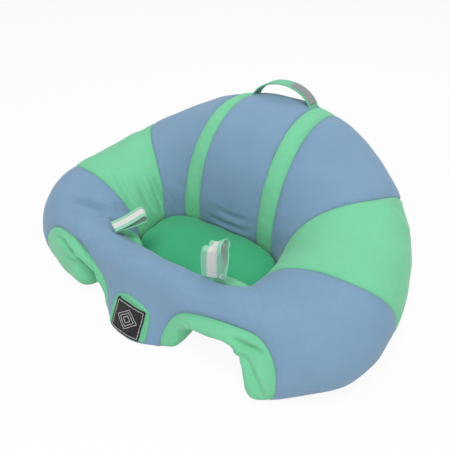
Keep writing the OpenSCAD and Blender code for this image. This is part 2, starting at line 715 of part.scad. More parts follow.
// Skin that lies on the centre post's front, w wide, from z0 up to z1 at its
// middle and lower by drop at its sides
module post_skin(w, z0, z1, drop, near, far) {
    function grid(d) = [for (i = [-post_cols : post_cols])
        let(u = i / post_cols, top = z1 - drop * u * u)
        [for (j = [0 : post_rows]) post_point(u * w / 2, mix(z0, top, j / post_rows), d)]];
    skin(grid(far), grid(near));
}
module post_patch() {
    color(mint) post_skin(patch_w, patch_bottom, patch_top, patch_drop, patch_gap, patch_far);
}
module post_label() {
    color(black) post_skin(label_w, label_bottom, label_top, 0, patch_far + run_gap,
                           patch_far + run_gap + tag_t);
}

// ---- Base zip ----------------------------------------------------------
zip_y = cushion_mid[1] + zip_back;
tape_z = base_t + run_gap;
coil_z = tape_z - coil_h;
slider_x = -zip_l / 2 + slider_l + zip_end;
module zip_strip(l, y0, y1, z0, z1) {
    for (side = [0, 1]) mirror([0, side, 0])
        translate([-l / 2, y0, z0]) cube([l, y1 - y0, z1 - z0]);
}
module zip_tapes() {
    color(white) translate([0, zip_y, 0])
        zip_strip(zip_l + 2 * zip_end, zip_split, zip_tape_w, tape_z, tape_z + tag_t);
}
module zip_coils() {
    color(white) translate([0, zip_y, 0])
        zip_strip(zip_l, zip_split, zip_split + coil_w, coil_z, tape_z);
}
module zip_stops() {
    color(grey) for (side = [-1, 1])
        translate([side * (zip_l + zip_end) / 2, zip_y, coil_z + coil_h / 2])
            cube([zip_end - 2 * run_gap, 2 * (zip_split + coil_w), coil_h], center = true);
}
module slider_block(x0, x1, w, z0, z1) {
    translate([x0, -w / 2, z0]) cube([x1 - x0, w, z1 - z0]);
}
hinge_x = slider_l / 2 + eye_r + run_gap;
slider_low = coil_z - run_gap - plate_t;
slider_high = tape_z + tag_t + run_gap;
module zip_slider() {
    color(grey) translate([slider_x, zip_y, 0]) {
        slider_block(-slider_l / 2, slider_l / 2, pull_w + ear_t, slider_low, slider_low + plate_t);
        slider_block(-slider_l / 2, slider_l / 2, pull_w + ear_t, slider_high, slider_high + plate_t);
        slider_block(-slider_l / 6, slider_l / 6, 2 * (zip_split - run_gap), slider_low, slider_high);
        for (side = [-1, 1]) translate([0, side * pull_w / 2, 0]) {
            slider_block(slider_l / 2 - 1, hinge_x, ear_t, pull_z - ear_r, pull_z + ear_r);
            translate([hinge_x, 0, pull_z]) rotate([90, 0, 0])
                cylinder(r = ear_r, h = ear_t, center = true, $fn = arc_fn);
        }
        translate([hinge_x, 0, pull_z]) rotate([90, 0, 0])
            cylinder(r = pin_r, h = pull_w, center = true, $fn = arc_fn);
    }
}
module zip_pull() {
    w = pull_w - ear_t - 2 * run_gap;
    color(grey) translate([slider_x + hinge_x, zip_y, pull_z]) difference() {
        union() {
            rotate([90, 0, 0]) cylinder(r = eye_r, h = w, center = true, $fn = arc_fn);
            slider_block(0, pull_l, w, -pull_t / 2, pull_t / 2);
        }
        rotate([90, 0, 0])
            cylinder(r = pin_r + pin_gap, h = 2 * w, center = true, $fn = arc_fn);
    }
}

// ---- Drawing -----------------------------------------------------------
front_cover();
left_side_cover();
right_side_cover();
left_back_cover();
centre_back_cover();
right_back_cover();
left_back_band();
right_back_band();
left_leg_lining();
right_leg_lining();
seat_cover();
base_cover();
front_filling();
left_side_filling();
right_side_filling();
back_filling();
seat_filling();
handle_strap();
handle_feet();
handle_tag();
left_toy_loop();
right_toy_loop();
loop_feet();
post_patch();
post_label();
zip_tapes();
zip_coils();
zip_stops();
zip_slider();
zip_pull();
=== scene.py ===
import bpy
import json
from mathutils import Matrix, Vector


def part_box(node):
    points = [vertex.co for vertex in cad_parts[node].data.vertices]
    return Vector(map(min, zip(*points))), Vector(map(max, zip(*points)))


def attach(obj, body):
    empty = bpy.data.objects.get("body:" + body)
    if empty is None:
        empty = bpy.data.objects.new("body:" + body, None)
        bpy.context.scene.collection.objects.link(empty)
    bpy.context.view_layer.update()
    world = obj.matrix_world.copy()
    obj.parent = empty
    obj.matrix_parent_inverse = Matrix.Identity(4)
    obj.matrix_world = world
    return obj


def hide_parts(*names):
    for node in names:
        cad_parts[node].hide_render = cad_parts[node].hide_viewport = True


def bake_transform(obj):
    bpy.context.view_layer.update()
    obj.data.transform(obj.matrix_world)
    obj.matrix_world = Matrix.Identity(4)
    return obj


bl_info = {
    "name": "Baby Floor Seat",
    "version": (1, 0, 0),
    "blender": (4, 5, 0),
    "location": "3D View > Sidebar > Floor Seat",
    "description": "Builds a stuffed ring seat for a baby around its CAD frame",
    "category": "Add Mesh",
}

import json
import math

import bmesh
import bpy
import numpy as np
from mathutils import Matrix, Vector, geometry, noise
from mathutils.bvhtree import BVHTree
from mathutils.kdtree import KDTree

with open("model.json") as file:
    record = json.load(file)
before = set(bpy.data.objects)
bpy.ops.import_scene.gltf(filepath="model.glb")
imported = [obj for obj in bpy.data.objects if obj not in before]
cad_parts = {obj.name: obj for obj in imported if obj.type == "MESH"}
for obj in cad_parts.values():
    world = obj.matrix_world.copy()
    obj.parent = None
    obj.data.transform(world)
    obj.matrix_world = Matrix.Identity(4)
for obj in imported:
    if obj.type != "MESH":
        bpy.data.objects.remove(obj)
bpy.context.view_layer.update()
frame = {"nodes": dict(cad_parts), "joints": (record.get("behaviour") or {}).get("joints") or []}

MM = 0.001


def length(name, millimetres, description):
    """A size in the sidebar, kept in metres."""
    return bpy.props.FloatProperty(
        name=name, default=millimetres * MM, description=description,
        unit="LENGTH", subtype="DISTANCE", precision=4)


def colour(name, description, red, green, blue):
    """A colour in the sidebar, given as linear light."""
    return bpy.props.FloatVectorProperty(
        name=name, description=description, default=(red, green, blue, 1.0),
        subtype="COLOR", size=4, min=0.0, max=1.0)


# ---- Sizes and colours --------------------------------------------------

class SeatSizes(bpy.types.PropertyGroup):
    """Sizes of the stuffed ring, which match the CAD source."""
    seat_w: length("Width", 560, "Width of the ring before its front flares")
    front_reach: length("Front reach", 180, "From the ring's middle to its front")
    back_reach: length("Back reach", 220, "From the ring's middle to its back")
    cavity_w: length("Cavity width", 190, "Width of the cavity")
    cavity_d: length("Cavity depth", 92, "Depth of the cavity")
    cavity_forward: length("Cavity forward", 21, "How far the cavity lies forward")
    front_h: length("Front height", 98, "Height of the front bar")
    back_h: length("Back height", 225, "Height of the back")
    pressed_flat: length("Pressed flat", 10, "What the seat's weight flattens below")
    leg_h: length("Leg opening height", 65, "Height of the leg openings")
    rim_h: length("Lining rim", 20, "Height of the linings' seam over the roof")
    rim_under: length("Rim under ridge", 8, "Least drop from the ridge to that seam")
    post_kick: length("Post kick", 36, "How far the centre post's foot stands forward")
    post_pinch: length("Post pinch", 22, "How far the centre post is drawn in")
    band_x: length("Band offset", 69.5, "From the middle to the middle of a band")
    band_w: length("Band width", 28, "Width of the two bands on the back")
    cushion_back_h: length("Cushion back", 55, "Height of the seat cushion's back rim")
    cushion_front_h: length("Cushion front", 30, "Height of its front rim")
    cushion_crown: length("Cushion crown", 5, "How far its middle stands up")
    cushion_edge_r: length("Cushion edge", 10, "Radius of its shoulder")
    wall_gap: length("Cushion clearance", 1.6, "From the cushion to the cavity wall")
    webbing_w: length("Webbing width", 25, "Width of the carrying handle")
    webbing_t: length("Webbing thickness", 2.5, "Thickness of its webbing")
    handle_rise: length("Handle rise", 14, "Height of the handle over its hinge")
    ribbon_w: length("Ribbon width", 27, "Width of the toy loops")
    patch_w: length("Patch width", 66, "Width of the patch on the centre post")
    patch_bottom: length("Patch bottom", 5.5, "Height of the patch's lower edge")
    patch_top: length("Patch top", 54, "Height of the middle of its upper edge")
    patch_drop: length("Patch drop", 9, "How much lower its upper corners are")
    label_w: length("Label width", 51, "Width of the woven label")
    label_bottom: length("Label bottom", 7, "Height of the label's lower edge")
    label_top: length("Label top", 44, "Height of the label's upper edge")


class SeatSewing(bpy.types.PropertyGroup):
    """How the panels are stuffed and sewn."""
    cell: length("Cloth cell", 4.2, "Side of the cloth's cells before they are divided")
    seam_depth: length("Seam depth", 1.5, "How deep a seam draws the panels in")
    seam_reach: length("Seam reach", 3.4, "How far from the seam that is felt")
    allowance: length("Seam allowance", 4, "Cloth turned in along each seam")
    cloth_t: length("Cloth thickness", 1.0, "Thickness of the covers")
    most_move: length("Most movement", 8, "Cap on how far the stuffing moves the cloth")
    pressure: bpy.props.FloatProperty(
        name="Stuffing", default=6.0, min=0.0, description="Pressure of the stuffing")
    slack: bpy.props.FloatProperty(
        name="Slack", default=0.004, subtype="FACTOR",
        description="Extra cloth in the middle of a panel")
    gather: bpy.props.FloatProperty(
        name="Gathers", default=0.035, subtype="FACTOR",
        description="Extra cloth along the seams, which puckers")


class SeatColours(bpy.types.PropertyGroup):
    """Colours of the finishes, as linear light."""
    blue: colour("Blue cloth", "Panels of the front and the back", 0.200, 0.335, 0.485)
    mint: colour("Mint cloth", "Side panels, bands and linings", 0.185, 0.610, 0.345)
    # The cushion is the mint cloth; its deeper, darker colour is painted shade for the cavity
    seat: colour("Cushion cloth", "Cushion in the cavity", 0.052, 0.420, 0.195)
    base: colour("Base cloth", "Underside panel", 0.150, 0.250, 0.420)
    webbing: colour("Webbing", "Carrying handle", 0.200, 0.620, 0.380)
    ribbon: colour("Ribbon", "Edges of the toy loops", 0.330, 0.740, 0.520)
    ribbon_middle: colour("Ribbon middle", "Satin stripe of the loops", 0.880, 0.880, 0.820)
    label: colour("Label", "Woven label's ground", 0.012, 0.012, 0.014)
    label_thread: colour("Label thread", "Stitching on the label", 0.720, 0.700, 0.700)
    tag: colour("Tag", "Small tag on the handle", 0.330, 0.350, 0.350)
    metal: colour("Zip metal", "Slider, pull and stops", 0.560, 0.560, 0.580)
    zip_tape: colour("Zip tape", "Tape and teeth of the zip", 0.150, 0.250, 0.420)


# ---- Shape of the ring --------------------------------------------------
# Plain numbers of the ring's shape, as in the CAD source. Angles are degrees.

OUTER_SQUARE = 2.35
FRONT_FLARE = 0.22
CAVITY_SQUARE = 3.7
CAVITY_FLARE = -0.16
EVEN_RISE = 0.38
RISE_POWER = 3.7
SECTION_FULL = 2.25
FRONT_TAPER, BACK_TAPER = 0.4, -0.1
FRONT_LEAN, BACK_LEAN, LEAN_POWER = 5 * MM, 52 * MM, 0.8
LEG_START, RIGHT_LEG_END, LEFT_LEG_END = 8.0, 28.0, 20.0
LEG_START_TURN, LEG_END_TURN, TURN_END = 12.0, 33.0, 76.0
LEG_SQUARE = 3.0
RIM_START, RIM_END = 5.6, 38.0
KICK_FADE, PINCH_FADE = 10.0, 30.0
SIDE_FRONT, SIDE_FRONT_TURN, SIDE_FRONT_BOW = 80.0, 3.5, 3.0
SIDE_BACK, SIDE_BACK_TURN, SIDE_BACK_BOW = 116.0, 6.0, 5.5

# How far the patch and the label stand off the post, the lower edge of the
# cushion's sides, the heights of the covers' lower edges and of the linings'
# hems off the floor, and half the gap between two sewn edges
PATCH_FAR, LABEL_STAND = 2.4 * MM, 1.1 * MM
COVER_LOW = 4.5 * MM
FLOOR_EDGE, HEM = 1.6 * MM, 1.1 * MM
HALF_SEAM = 0.1 * MM

# The front cover's flat pattern: its section angles, half the run of its inner
# edge, and the height over which its faces look up
PATTERN_LOW, PATTERN_HIGH = -50.0, 230.0
PATTERN_INNER = 115 * MM
NEAR_RIDGE = 70 * MM
# A lining's length through its opening, how often its mouth's edges are
# rounded, and the rings of points over the cushion's top
LINING_RUN = 190 * MM
MOUTH_ROUNDING = 14
CUSHION_RINGS = 22

# ---- Cloth, light and camera --------------------------------------------

# Frames of the stuffing, how far from a seam the cloth is gathered, and the
# least height of the cloth's outer face
SIM_FRAMES = 20
GATHER_REACH = 18 * MM
LEAST_HEIGHT = 1.3 * MM
# How far apart sewn edges lie at most, what counts as at the floor, the least
# downward way of an edge that stays flat there, and how deep a crease is felt
SEWN_TOGETHER = 2.6 * MM
AT_FLOOR = 3 * FLOOR_EDGE
FACES_DOWN = -0.6
CREASE_FELT = 14 * MM

# Unevenness of the stuffing, and puckers beside the seams: size and height
LUMP_SIZE, LUMP = 38 * MM, 2.0 * MM
PUCKER_SIZE, PUCKER, PUCKER_REACH = 7.5 * MM, 0.8 * MM, 9 * MM

# Where the stuffing pushes the covers out, or a cover sags: a middle, how far
# it is felt and the push, in millimetres
FULLNESS = (
    ((110, -186, 50), 34, (0, -3, -11)),
    ((188, -166, 8), 38, (0, -24, 0)),
    ((156, -180, 3), 20, (15, 7, 0)),
    ((-138, -170, 18), 42, (47, -8, 0)),
    ((-88, -188, 50), 28, (0, -4, -9)),
)

# Folds pressed into the covers: a line of points in millimetres, depth, width
CREASES = {
    "front_panel": (
        (((-196, -140, 106), (-170, -130, 105), (-150, -121, 97), (-130, -106, 80)), 7.0, 6.0),
        (((-148, -92, 96), (-137, -92, 88), (-129, -92, 80)), 2.2, 3.5),
        (((32, -150, 95), (48, -153, 96), (60, -148, 94)), 1.8, 3.0),
    ),
    "centre_back_panel": (
        (((-38, 7, 64), (-10, 7, 61), (20, 7, 62), (45, 6, 67)), 2.2, 4.0),
        (((-20, 12, 84), (10, 12, 80), (40, 10, 84)), 1.6, 4.0),
    ),
    "left_side_panel": (
        (((-186, -54, 123), (-152, -63, 105), (-127, -65, 78)), 3.4, 5.0),
        (((-157, -35, 114), (-129, -40, 84), (-116, -34, 54)), 3.2, 5.0),
        (((-143, -16, 116), (-125, -20, 91), (-112, -20, 60)), 5.0, 4.5),
    ),
    "right_lining": (
        (((85, -192, 60), (94, -194, 61), (99, -195, 56)), 2.4, 2.6),
        (((155, -188, 74), (166, -187, 73), (178, -184, 70), (192, -180, 67)), 6.0, 3.4),
        (((172, -192, 60), (182, -195, 50), (194, -197, 36), (204, -196, 16)), 4.5, 4.2),
    ),
    "left_lining": (
        (((-176, -183, 70), (-158, -183, 70), (-140, -186, 69), (-122, -190, 68), (-107, -192, 64),
          (-92, -191, 57), (-75, -190, 50)), 9.0, 3.6),
    ),
}

# Light of the floor and the world; name, place, side in metres and watts of
# each lamp; the camera, solved from the photograph's outline and seams
FLOOR_GLOW = 0.92
WORLD_LIGHT = 0.38
LAMPS = (
    ("Key", (0.3, -0.8, 2.1), 1.2, 27.0),
    ("Fill", (1.5, -1.3, 1.0), 1.4, 8.5),
    ("Back", (-0.5, 1.4, 1.7), 1.2, 9.0),
)
LAMPS_LOOK_AT = Vector((0, 0, 0.08))
PHOTO_PIXELS = 450
FOCAL_PIXELS = 460
SENSOR = 36
CAMERA_AZIMUTH, CAMERA_ELEVATION = 37.4, 33.7
CAMERA_PLACE = Vector((0.363198, -0.473094, 0.460779))


def spow(value, power):
    """Power that keeps the sign."""
    return np.sign(value) * np.abs(value) ** power


def mix(first, last, share):
    """Straight blend between two values."""
    return first + (last - first) * share


def sind(angle):
    """Sine of an angle in degrees."""
    return np.sin(np.radians(angle))


def cosd(angle):
    """Cosine of an angle in degrees."""
    return np.cos(np.radians(angle))


def smooth(value, low, high):
    """Smooth step from 0 at low to 1 at high."""
    t = np.clip((np.asarray(value, float) - low) / (high - low), 0, 1)
    return t * t * (3 - 2 * t)


def run_along(points):
    """Distance along a line of points, from its first point to each."""
    return np.concatenate([[0], np.cumsum(np.linalg.norm(np.diff(points, axis=0), axis=1))])


class Ring:
    """Skin of the stuffed ring. A plan angle is 0 at the front, 90 on the +X
    side and 180 at the back. A section angle is 0 on the outer wall, 90 on
    the ridge, 180 on the cavity wall and 270 underneath."""

    def __init__(self, sizes):
        self.z = sizes
        self.mid_y = 0.0
        foot = self.angle_at(np.array([0.0]), COVER_LOW)
        front = self.point(np.array([0.0]), foot)[0, 1] - PATCH_FAR - LABEL_STAND
        sections = np.arange(0.0, 61.0, 5.0)
        back = self.point(np.full(sections.shape, 180.0), sections)[:, 1].max()
        self.mid_y = (front + back) / 2

    def cavity_plan(self, a):
        """Outline of the cavity, seen from above."""
        z = self.z
        return np.stack([
            z.cavity_w / 2 * spow(sind(a), 2 / CAVITY_SQUARE) * (1 + CAVITY_FLARE * cosd(a)),
            -z.cavity_forward - z.cavity_d / 2 * spow(cosd(a), 2 / CAVITY_SQUARE)], -1)

    def outer_plan(self, a):
        """Outer outline of the ring, seen from above."""
        z = self.z
        reach = np.where(cosd(a) > 0, z.front_reach, z.back_reach)
        return np.stack([
            z.seat_w / 2 * spow(sind(a), 2 / OUTER_SQUARE) * (1 + FRONT_FLARE * cosd(a)),
            -reach * spow(cosd(a), 2 / OUTER_SQUARE)], -1)

    def backness(self, a):
        """Share from 0 at the front to 1 at the back."""
        return (1 - cosd(a)) / 2

    def ridge(self, a):
        """Height of the ring's ridge."""
        b = self.backness(a)
        return mix(self.z.front_h, self.z.back_h, mix(b ** RISE_POWER, b, EVEN_RISE))

    def across(self, a, s, inset=0.0):
        """Place across the section, from -1 at the cavity wall to 1 outside."""
        z = self.z
        w = np.linalg.norm(self.outer_plan(a) - self.cavity_plan(a), axis=-1) / 2
        h = (1 + spow(sind(s), 2 / SECTION_FULL)) / 2
        b = self.backness(a)
        taper = mix(FRONT_TAPER, BACK_TAPER, b)
        lean = mix(FRONT_LEAN, BACK_LEAN, b ** LEAN_POWER)
        outer = np.clip(2 * cosd(s), 0, 1)
        kick = np.where(np.abs(a) < KICK_FADE, cosd(90 * a / KICK_FADE) ** 2, 0)
        pinch = np.where(np.abs(a) < PINCH_FADE, cosd(90 * a / PINCH_FADE) ** 2, 0)
        foot = outer * (kick * z.post_kick * (1 - h) ** 2
                        - pinch * z.post_pinch * 4 * h * (1 - h))
        return (spow(cosd(s), 2 / SECTION_FULL) * (1 - taper * h) * (1 - inset / w)
                + (lean * h + foot) / w)

    def turned(self, a, k):
        """Plan angle after the turn that leads the legs to the cavity's sides."""
        b = np.abs(a)
        end = np.where(a < 0, LEFT_LEG_END, RIGHT_LEG_END)
        turn = np.where(
            b < LEG_START, LEG_START_TURN * b / LEG_START,
            np.where(b < end,
                     mix(LEG_START_TURN, LEG_END_TURN, (b - LEG_START) / (end - LEG_START)),
                     np.where(b < TURN_END,
                              LEG_END_TURN * (TURN_END - b) / (TURN_END - end), 0)))
        return a + np.sign(a) * turn * (1 - k) / 2

    def plan(self, a, k):
        """Plan place between the cavity, -1, and the outline, 1."""
        turned = self.turned(a, k)
        share = ((1 + k) / 2)[..., None]
        return mix(self.cavity_plan(turned), self.outer_plan(turned), share)

    def arch(self, a, start, end, height):
        """Height of an arch between two plan angles."""
        t = np.abs((np.abs(a) - (start + end) / 2) / ((end - start) / 2))
        return height * np.clip(1 - t ** LEG_SQUARE, 0, None) ** (1 / LEG_SQUARE)

    def roof(self, a):
        """Height of a leg opening's roof."""
        end = np.where(a < 0, LEFT_LEG_END, RIGHT_LEG_END)
        return self.arch(a, LEG_START, end, self.z.leg_h)

    def rim(self, a):
        """Height of the seam round a leg opening's lining."""
        z = self.z
        return np.minimum(self.arch(a, RIM_START, RIM_END, z.leg_h + z.rim_h),
                          self.ridge(a) - z.rim_under)

    def point(self, a, s, floor=0.0):
        """Point of the skin, over the leg openings and the floor."""
        a, s = np.broadcast_arrays(np.asarray(a, float), np.asarray(s, float))
        k = self.across(a, s)
        xy = self.plan(a, k)
        h = (1 + spow(sind(s), 2 / SECTION_FULL)) / 2
        flat = self.z.pressed_flat
        z = np.maximum((self.ridge(a) + flat) * h - flat, floor)
        roof, rim = self.roof(a), self.rim(a)
        over = mix(roof, rim, z / np.where(rim > 0, rim, 1))
        z = np.where((roof == 0) | (z > rim), z, over)
        return np.stack([xy[..., 0], xy[..., 1] - self.mid_y, z], -1)

    def angle_at(self, a, z):
        """Section angle on the outer wall where the skin is at height z."""
        roof, rim = self.roof(a), self.rim(a)
        rise = np.where(rim > roof, rim - roof, 1)
        plain = np.where((roof == 0) | (z > rim), z, rim * (np.maximum(z, roof) - roof) / rise)
        flat = self.z.pressed_flat
        h = (plain + flat) / (self.ridge(a) + flat)
        return np.degrees(np.arcsin(np.clip(spow(2 * h - 1, SECTION_FULL / 2), -1, 1)))

    def beside(self, a, s, way):
        """Plan angle half a seam to one side of another."""
        k = self.across(a, s)
        step = np.linalg.norm(self.plan(a + way, k) - self.plan(a, k), axis=-1)
        return a + way * HALF_SEAM / step

    def at_x(self, x, s, low, high):
        """Plan angle between two others where the skin has the given X."""
        s = np.asarray(s, float)
        lo, hi = np.full(s.shape, float(low)), np.full(s.shape, float(high))
        for _ in range(30):
            mid = (lo + hi) / 2
            beyond = self.point(mid, s)[..., 0] > x
            up = beyond == (low >= 90)
            lo, hi = np.where(up, mid, lo), np.where(up, hi, mid)
        return lo

    def side_front(self, s):
        """Plan angle of the seam in front of a side panel."""
        return SIDE_FRONT + SIDE_FRONT_TURN * cosd(s) + SIDE_FRONT_BOW * cosd(s) ** 2

    def side_back(self, s):
        """Plan angle of the seam behind a side panel."""
        return SIDE_BACK + SIDE_BACK_TURN * cosd(s) + SIDE_BACK_BOW * cosd(s) ** 2

    def band_edge(self, x, s):
        """Plan angle of a straight seam on the back."""
        return self.at_x(x, s, 100, 180)

    def wall(self, a, z, gap):
        """Cavity wall at height z without its leg openings, kept clear by a gap."""
        flat = self.z.pressed_flat
        h = (z + flat) / (self.ridge(a) + flat)
        s = 180 - np.degrees(np.arcsin(np.clip(spow(2 * h - 1, SECTION_FULL / 2), -1, 1)))
        p = self.plan(a, self.across(a, s, -gap))
        return p - np.array([0, self.mid_y])


# ---- Cloth panels -------------------------------------------------------

def even_steps(ring, a, s, step):
    """Plan and section angles spread evenly along a line on the skin."""
    run = run_along(ring.point(a, s))
    n = max(2, int(round(run[-1] / step)))
    at = np.linspace(0, run[-1], n + 1)
    return np.interp(at, run, a), np.interp(at, run, s)


def graded(n, ends=0.55):
    """Shares from 0 to 1 that are closer together at both ends."""
    u = np.linspace(0, 1, n + 1)
    return mix(u, (1 - np.cos(np.pi * u)) / 2, ends)


class Panel:
    """A sewn panel before stuffing: points, faces, and which points are held."""

    def __init__(self, name, points, faces, held, kind):
        self.name, self.points, self.faces = name, points, faces
        self.held, self.kind = held, kind


def grid_faces(rows, cols):
    """Quads over a grid stored column by column."""
    faces = []
    for i in range(cols - 1):
        for j in range(rows - 1):
            a, b = i * rows + j, (i + 1) * rows + j
            faces.append((a, b, b + 1, a + 1))
    return faces


def edge_cells(cols, rows):
    """Which points of a grid lie on its edge, column by column."""
    held = np.zeros((cols, rows), bool)
    held[0], held[-1], held[:, 0], held[:, -1] = True, True, True, True
    return held.ravel()


def strip_panel(ring, name, first, last, kind, width):
    """Panel between two seam lines over the ring's whole section."""
    cell = bpy.context.scene.seat_sewing.cell
    middle = mix(first(90.0), last(90.0), 0.5)
    low = float(ring.angle_at(np.array([middle]), FLOOR_EDGE)[0])
    line = np.linspace(low, 180 - low, 200)
    run = run_along(ring.point(mix(first(line), last(line), 0.5), line))
    n_rows = int(run[-1] / cell)
    n_cols = max(6, int(width / cell))
    share = np.interp(np.linspace(0, run[-1], n_rows + 1), run, np.linspace(0, 1, 200))
    points = []
    for t in graded(n_cols):
        guess = mix(low, 180 - low, share)
        a = mix(first(guess), last(guess), t)
        foot = float(ring.angle_at(a[:1], FLOOR_EDGE)[0])
        tip = float(ring.angle_at(a[-1:], FLOOR_EDGE)[0])
        s = mix(foot, 180 - tip, share)
        a = mix(first(s), last(s), t)
        points.append(ring.point(a, s))
    held = edge_cells(n_cols + 1, n_rows + 1)
    return Panel(name, np.concatenate(points), grid_faces(n_rows + 1, n_cols + 1), held, kind)


def arch_samples(start, end, n=500):
    """Plan angles across an arch, very close together where it is steep."""
    u = np.linspace(0, 1, n)
    turn = 180 * u * u * (3 - 2 * u)
    return (start + end) / 2 - (end - start) / 2 * spow(cosd(turn), 2 / LEG_SQUARE)


def inside(points, loop):
    """Which points lie inside a closed outline."""
    x, y = points[:, 0:1], points[:, 1:2]
    x0, y0 = loop[:, 0], loop[:, 1]
    x1, y1 = np.roll(x0, -1), np.roll(y0, -1)
    crossing = (y0 > y) != (y1 > y)
    where = x0 + (y - y0) * (x1 - x0) / np.where(y1 == y0, 1, y1 - y0)
    return (crossing & (x < where)).sum(1) % 2 == 1


def near_distance(points, others):
    """Distance from each point to the nearest of the others."""
    tree = KDTree(len(others))
    for i, p in enumerate(others):
        tree.insert((*p, 0.0)[:3] if len(p) == 2 else p, i)
    tree.balance()
    return np.array([tree.find((*p, 0.0)[:3] if len(p) == 2 else p)[2] for p in points])


def rows_inside(loop, reaches, spacing):
    """Rows of points that follow an outline, each a reach inside it."""
    ahead, behind = np.roll(loop, -1, 0), np.roll(loop, 1, 0)
    way = ahead - behind
    way /= np.maximum(np.linalg.norm(way, axis=1), 1e-9)[:, None]
    left = np.stack([-way[:, 1], way[:, 0]], 1)
    area = (loop[:, 0] * ahead[:, 1] - ahead[:, 0] * loop[:, 1]).sum()
    inward = left if area > 0 else -left
    rows = []
    for reach in reaches:
        row = loop + inward * reach
        clear = inside(row, loop) & (near_distance(row, loop) > 0.9 * reach)
        chosen = []
        for p in row[clear]:
            if not chosen or np.linalg.norm(p - chosen[-1]) > spacing:
                chosen.append(p)
        rows.append(np.array(chosen))
    return rows


def filled_outline(loop, cell):
    """Triangles over an outline: its own points, two rows that follow it, and
    an even lattice inside."""
    rows = rows_inside(loop, (0.45 * cell, 1.05 * cell), 0.5 * cell)
    low, high = loop.min(0), loop.max(0)
    rise = cell * math.sqrt(3) / 2
    lattice = []
    for j, y in enumerate(np.arange(low[1], high[1], rise)):
        for x in np.arange(low[0] + (j % 2) * cell / 2, high[0], cell):
            lattice.append((x, y))
    lattice = np.array(lattice)
    lattice = lattice[inside(lattice, loop)]
    lattice = lattice[near_distance(lattice, loop) > 1.7 * cell]
    points = np.concatenate([loop, *rows, lattice])
    n = len(loop)
    made = geometry.delaunay_2d_cdt(
        [Vector(p) for p in points], [], [list(range(n))], 1, 1e-7)
    return np.array([v[:] for v in made[0]]), [tuple(f) for f in made[2]]


def front_panel(ring):
    """Front cover: one flat fan-shaped pattern with a bite for each leg
    opening at both of its long edges, wrapped over the front bar."""
    cell = bpy.context.scene.seat_sewing.cell

    def edge_angle(a):
        return ring.angle_at(a, np.maximum(FLOOR_EDGE, ring.rim(a) + HALF_SEAM))

    def seam(way):
        low = float(ring.angle_at(np.array([ring.side_front(PATTERN_LOW)]), FLOOR_EDGE)[0])
        s = np.linspace(low, 180 - low, 400)
        a = ring.beside(ring.side_front(s), s, -1)
        return even_steps(ring, way * a, s, cell * 0.85)

    def half_edge(outer):
        low = ring.angle_at(np.array([SIDE_FRONT]), FLOOR_EDGE)
        low = low if outer else 180 - low
        far = ring.beside(ring.side_front(low), low, -1)[0]
        return np.concatenate([np.linspace(0, RIM_START, 60)[:-1],
                               arch_samples(RIM_START, RIM_END),
                               np.linspace(RIM_END, far, 200)[1:]])

    def edge(outer, way):
        a = way * half_edge(outer)
        s = edge_angle(a)
        s = s if outer else 180 - s
        return even_steps(ring, a, s, cell * 0.85)

    parts = []
    for outer, first_way in ((True, -1), (False, 1)):
        a, s = edge(outer, first_way)
        parts.append((a[::-1], s[::-1]))
        a, s = edge(outer, -first_way)
        parts.append((a[1:], s[1:]))
        a, s = seam(-first_way)
        if not outer:
            a, s = a[::-1], s[::-1]
        parts.append((a[1:-1], s[1:-1]))
    a = np.concatenate([p[0] for p in parts])
    s = np.concatenate([p[1] for p in parts])

    fine = np.linspace(0, 95, 1500)
    run = run_along(ring.plan(fine, np.full(fine.shape, 0.85)))
    outer_run = np.interp(SIDE_FRONT, fine, run)
    section = ring.point(np.full(300, 50.0), np.linspace(PATTERN_LOW, PATTERN_HIGH, 300))
    depth = np.linalg.norm(np.diff(section, axis=0), axis=1).sum()
    spread = (outer_run - PATTERN_INNER) / depth
    inner_r = PATTERN_INNER / spread

    def unroll(a, s):
        turn = np.sign(a) * np.interp(np.abs(a), fine, run) / (inner_r + depth)
        radius = inner_r + depth * (PATTERN_HIGH - s) / (PATTERN_HIGH - PATTERN_LOW)
        return np.stack([radius * np.sin(turn), -radius * np.cos(turn)], 1)

    def roll(flat):
        radius = np.hypot(flat[:, 0], flat[:, 1])
        turn = np.arctan2(flat[:, 0], -flat[:, 1])
        a = np.sign(turn) * np.interp(np.abs(turn) * (inner_r + depth), run, fine)
        return a, PATTERN_HIGH - (PATTERN_HIGH - PATTERN_LOW) * (radius - inner_r) / depth

    flat, faces = filled_outline(unroll(a, s), cell)
    n = len(a)
    a_all, s_all = roll(flat)
    a_all[:n], s_all[:n] = a, s
    points = ring.point(a_all, s_all)
    held = np.zeros(len(points), bool)
    held[:n] = True
    # The faces near the ridge show which way all of them turn
    p0, p1, p2 = (points[[f[i] for f in faces]] for i in range(3))
    normal = np.cross(p1 - p0, p2 - p0)
    top = (p0 + p1 + p2)[:, 2] / 3 > NEAR_RIDGE
    if (normal[top, 2] > 0).mean() < 0.5:
        faces = [f[::-1] for f in faces]
    return Panel("front_panel", points, faces, held, "blue")


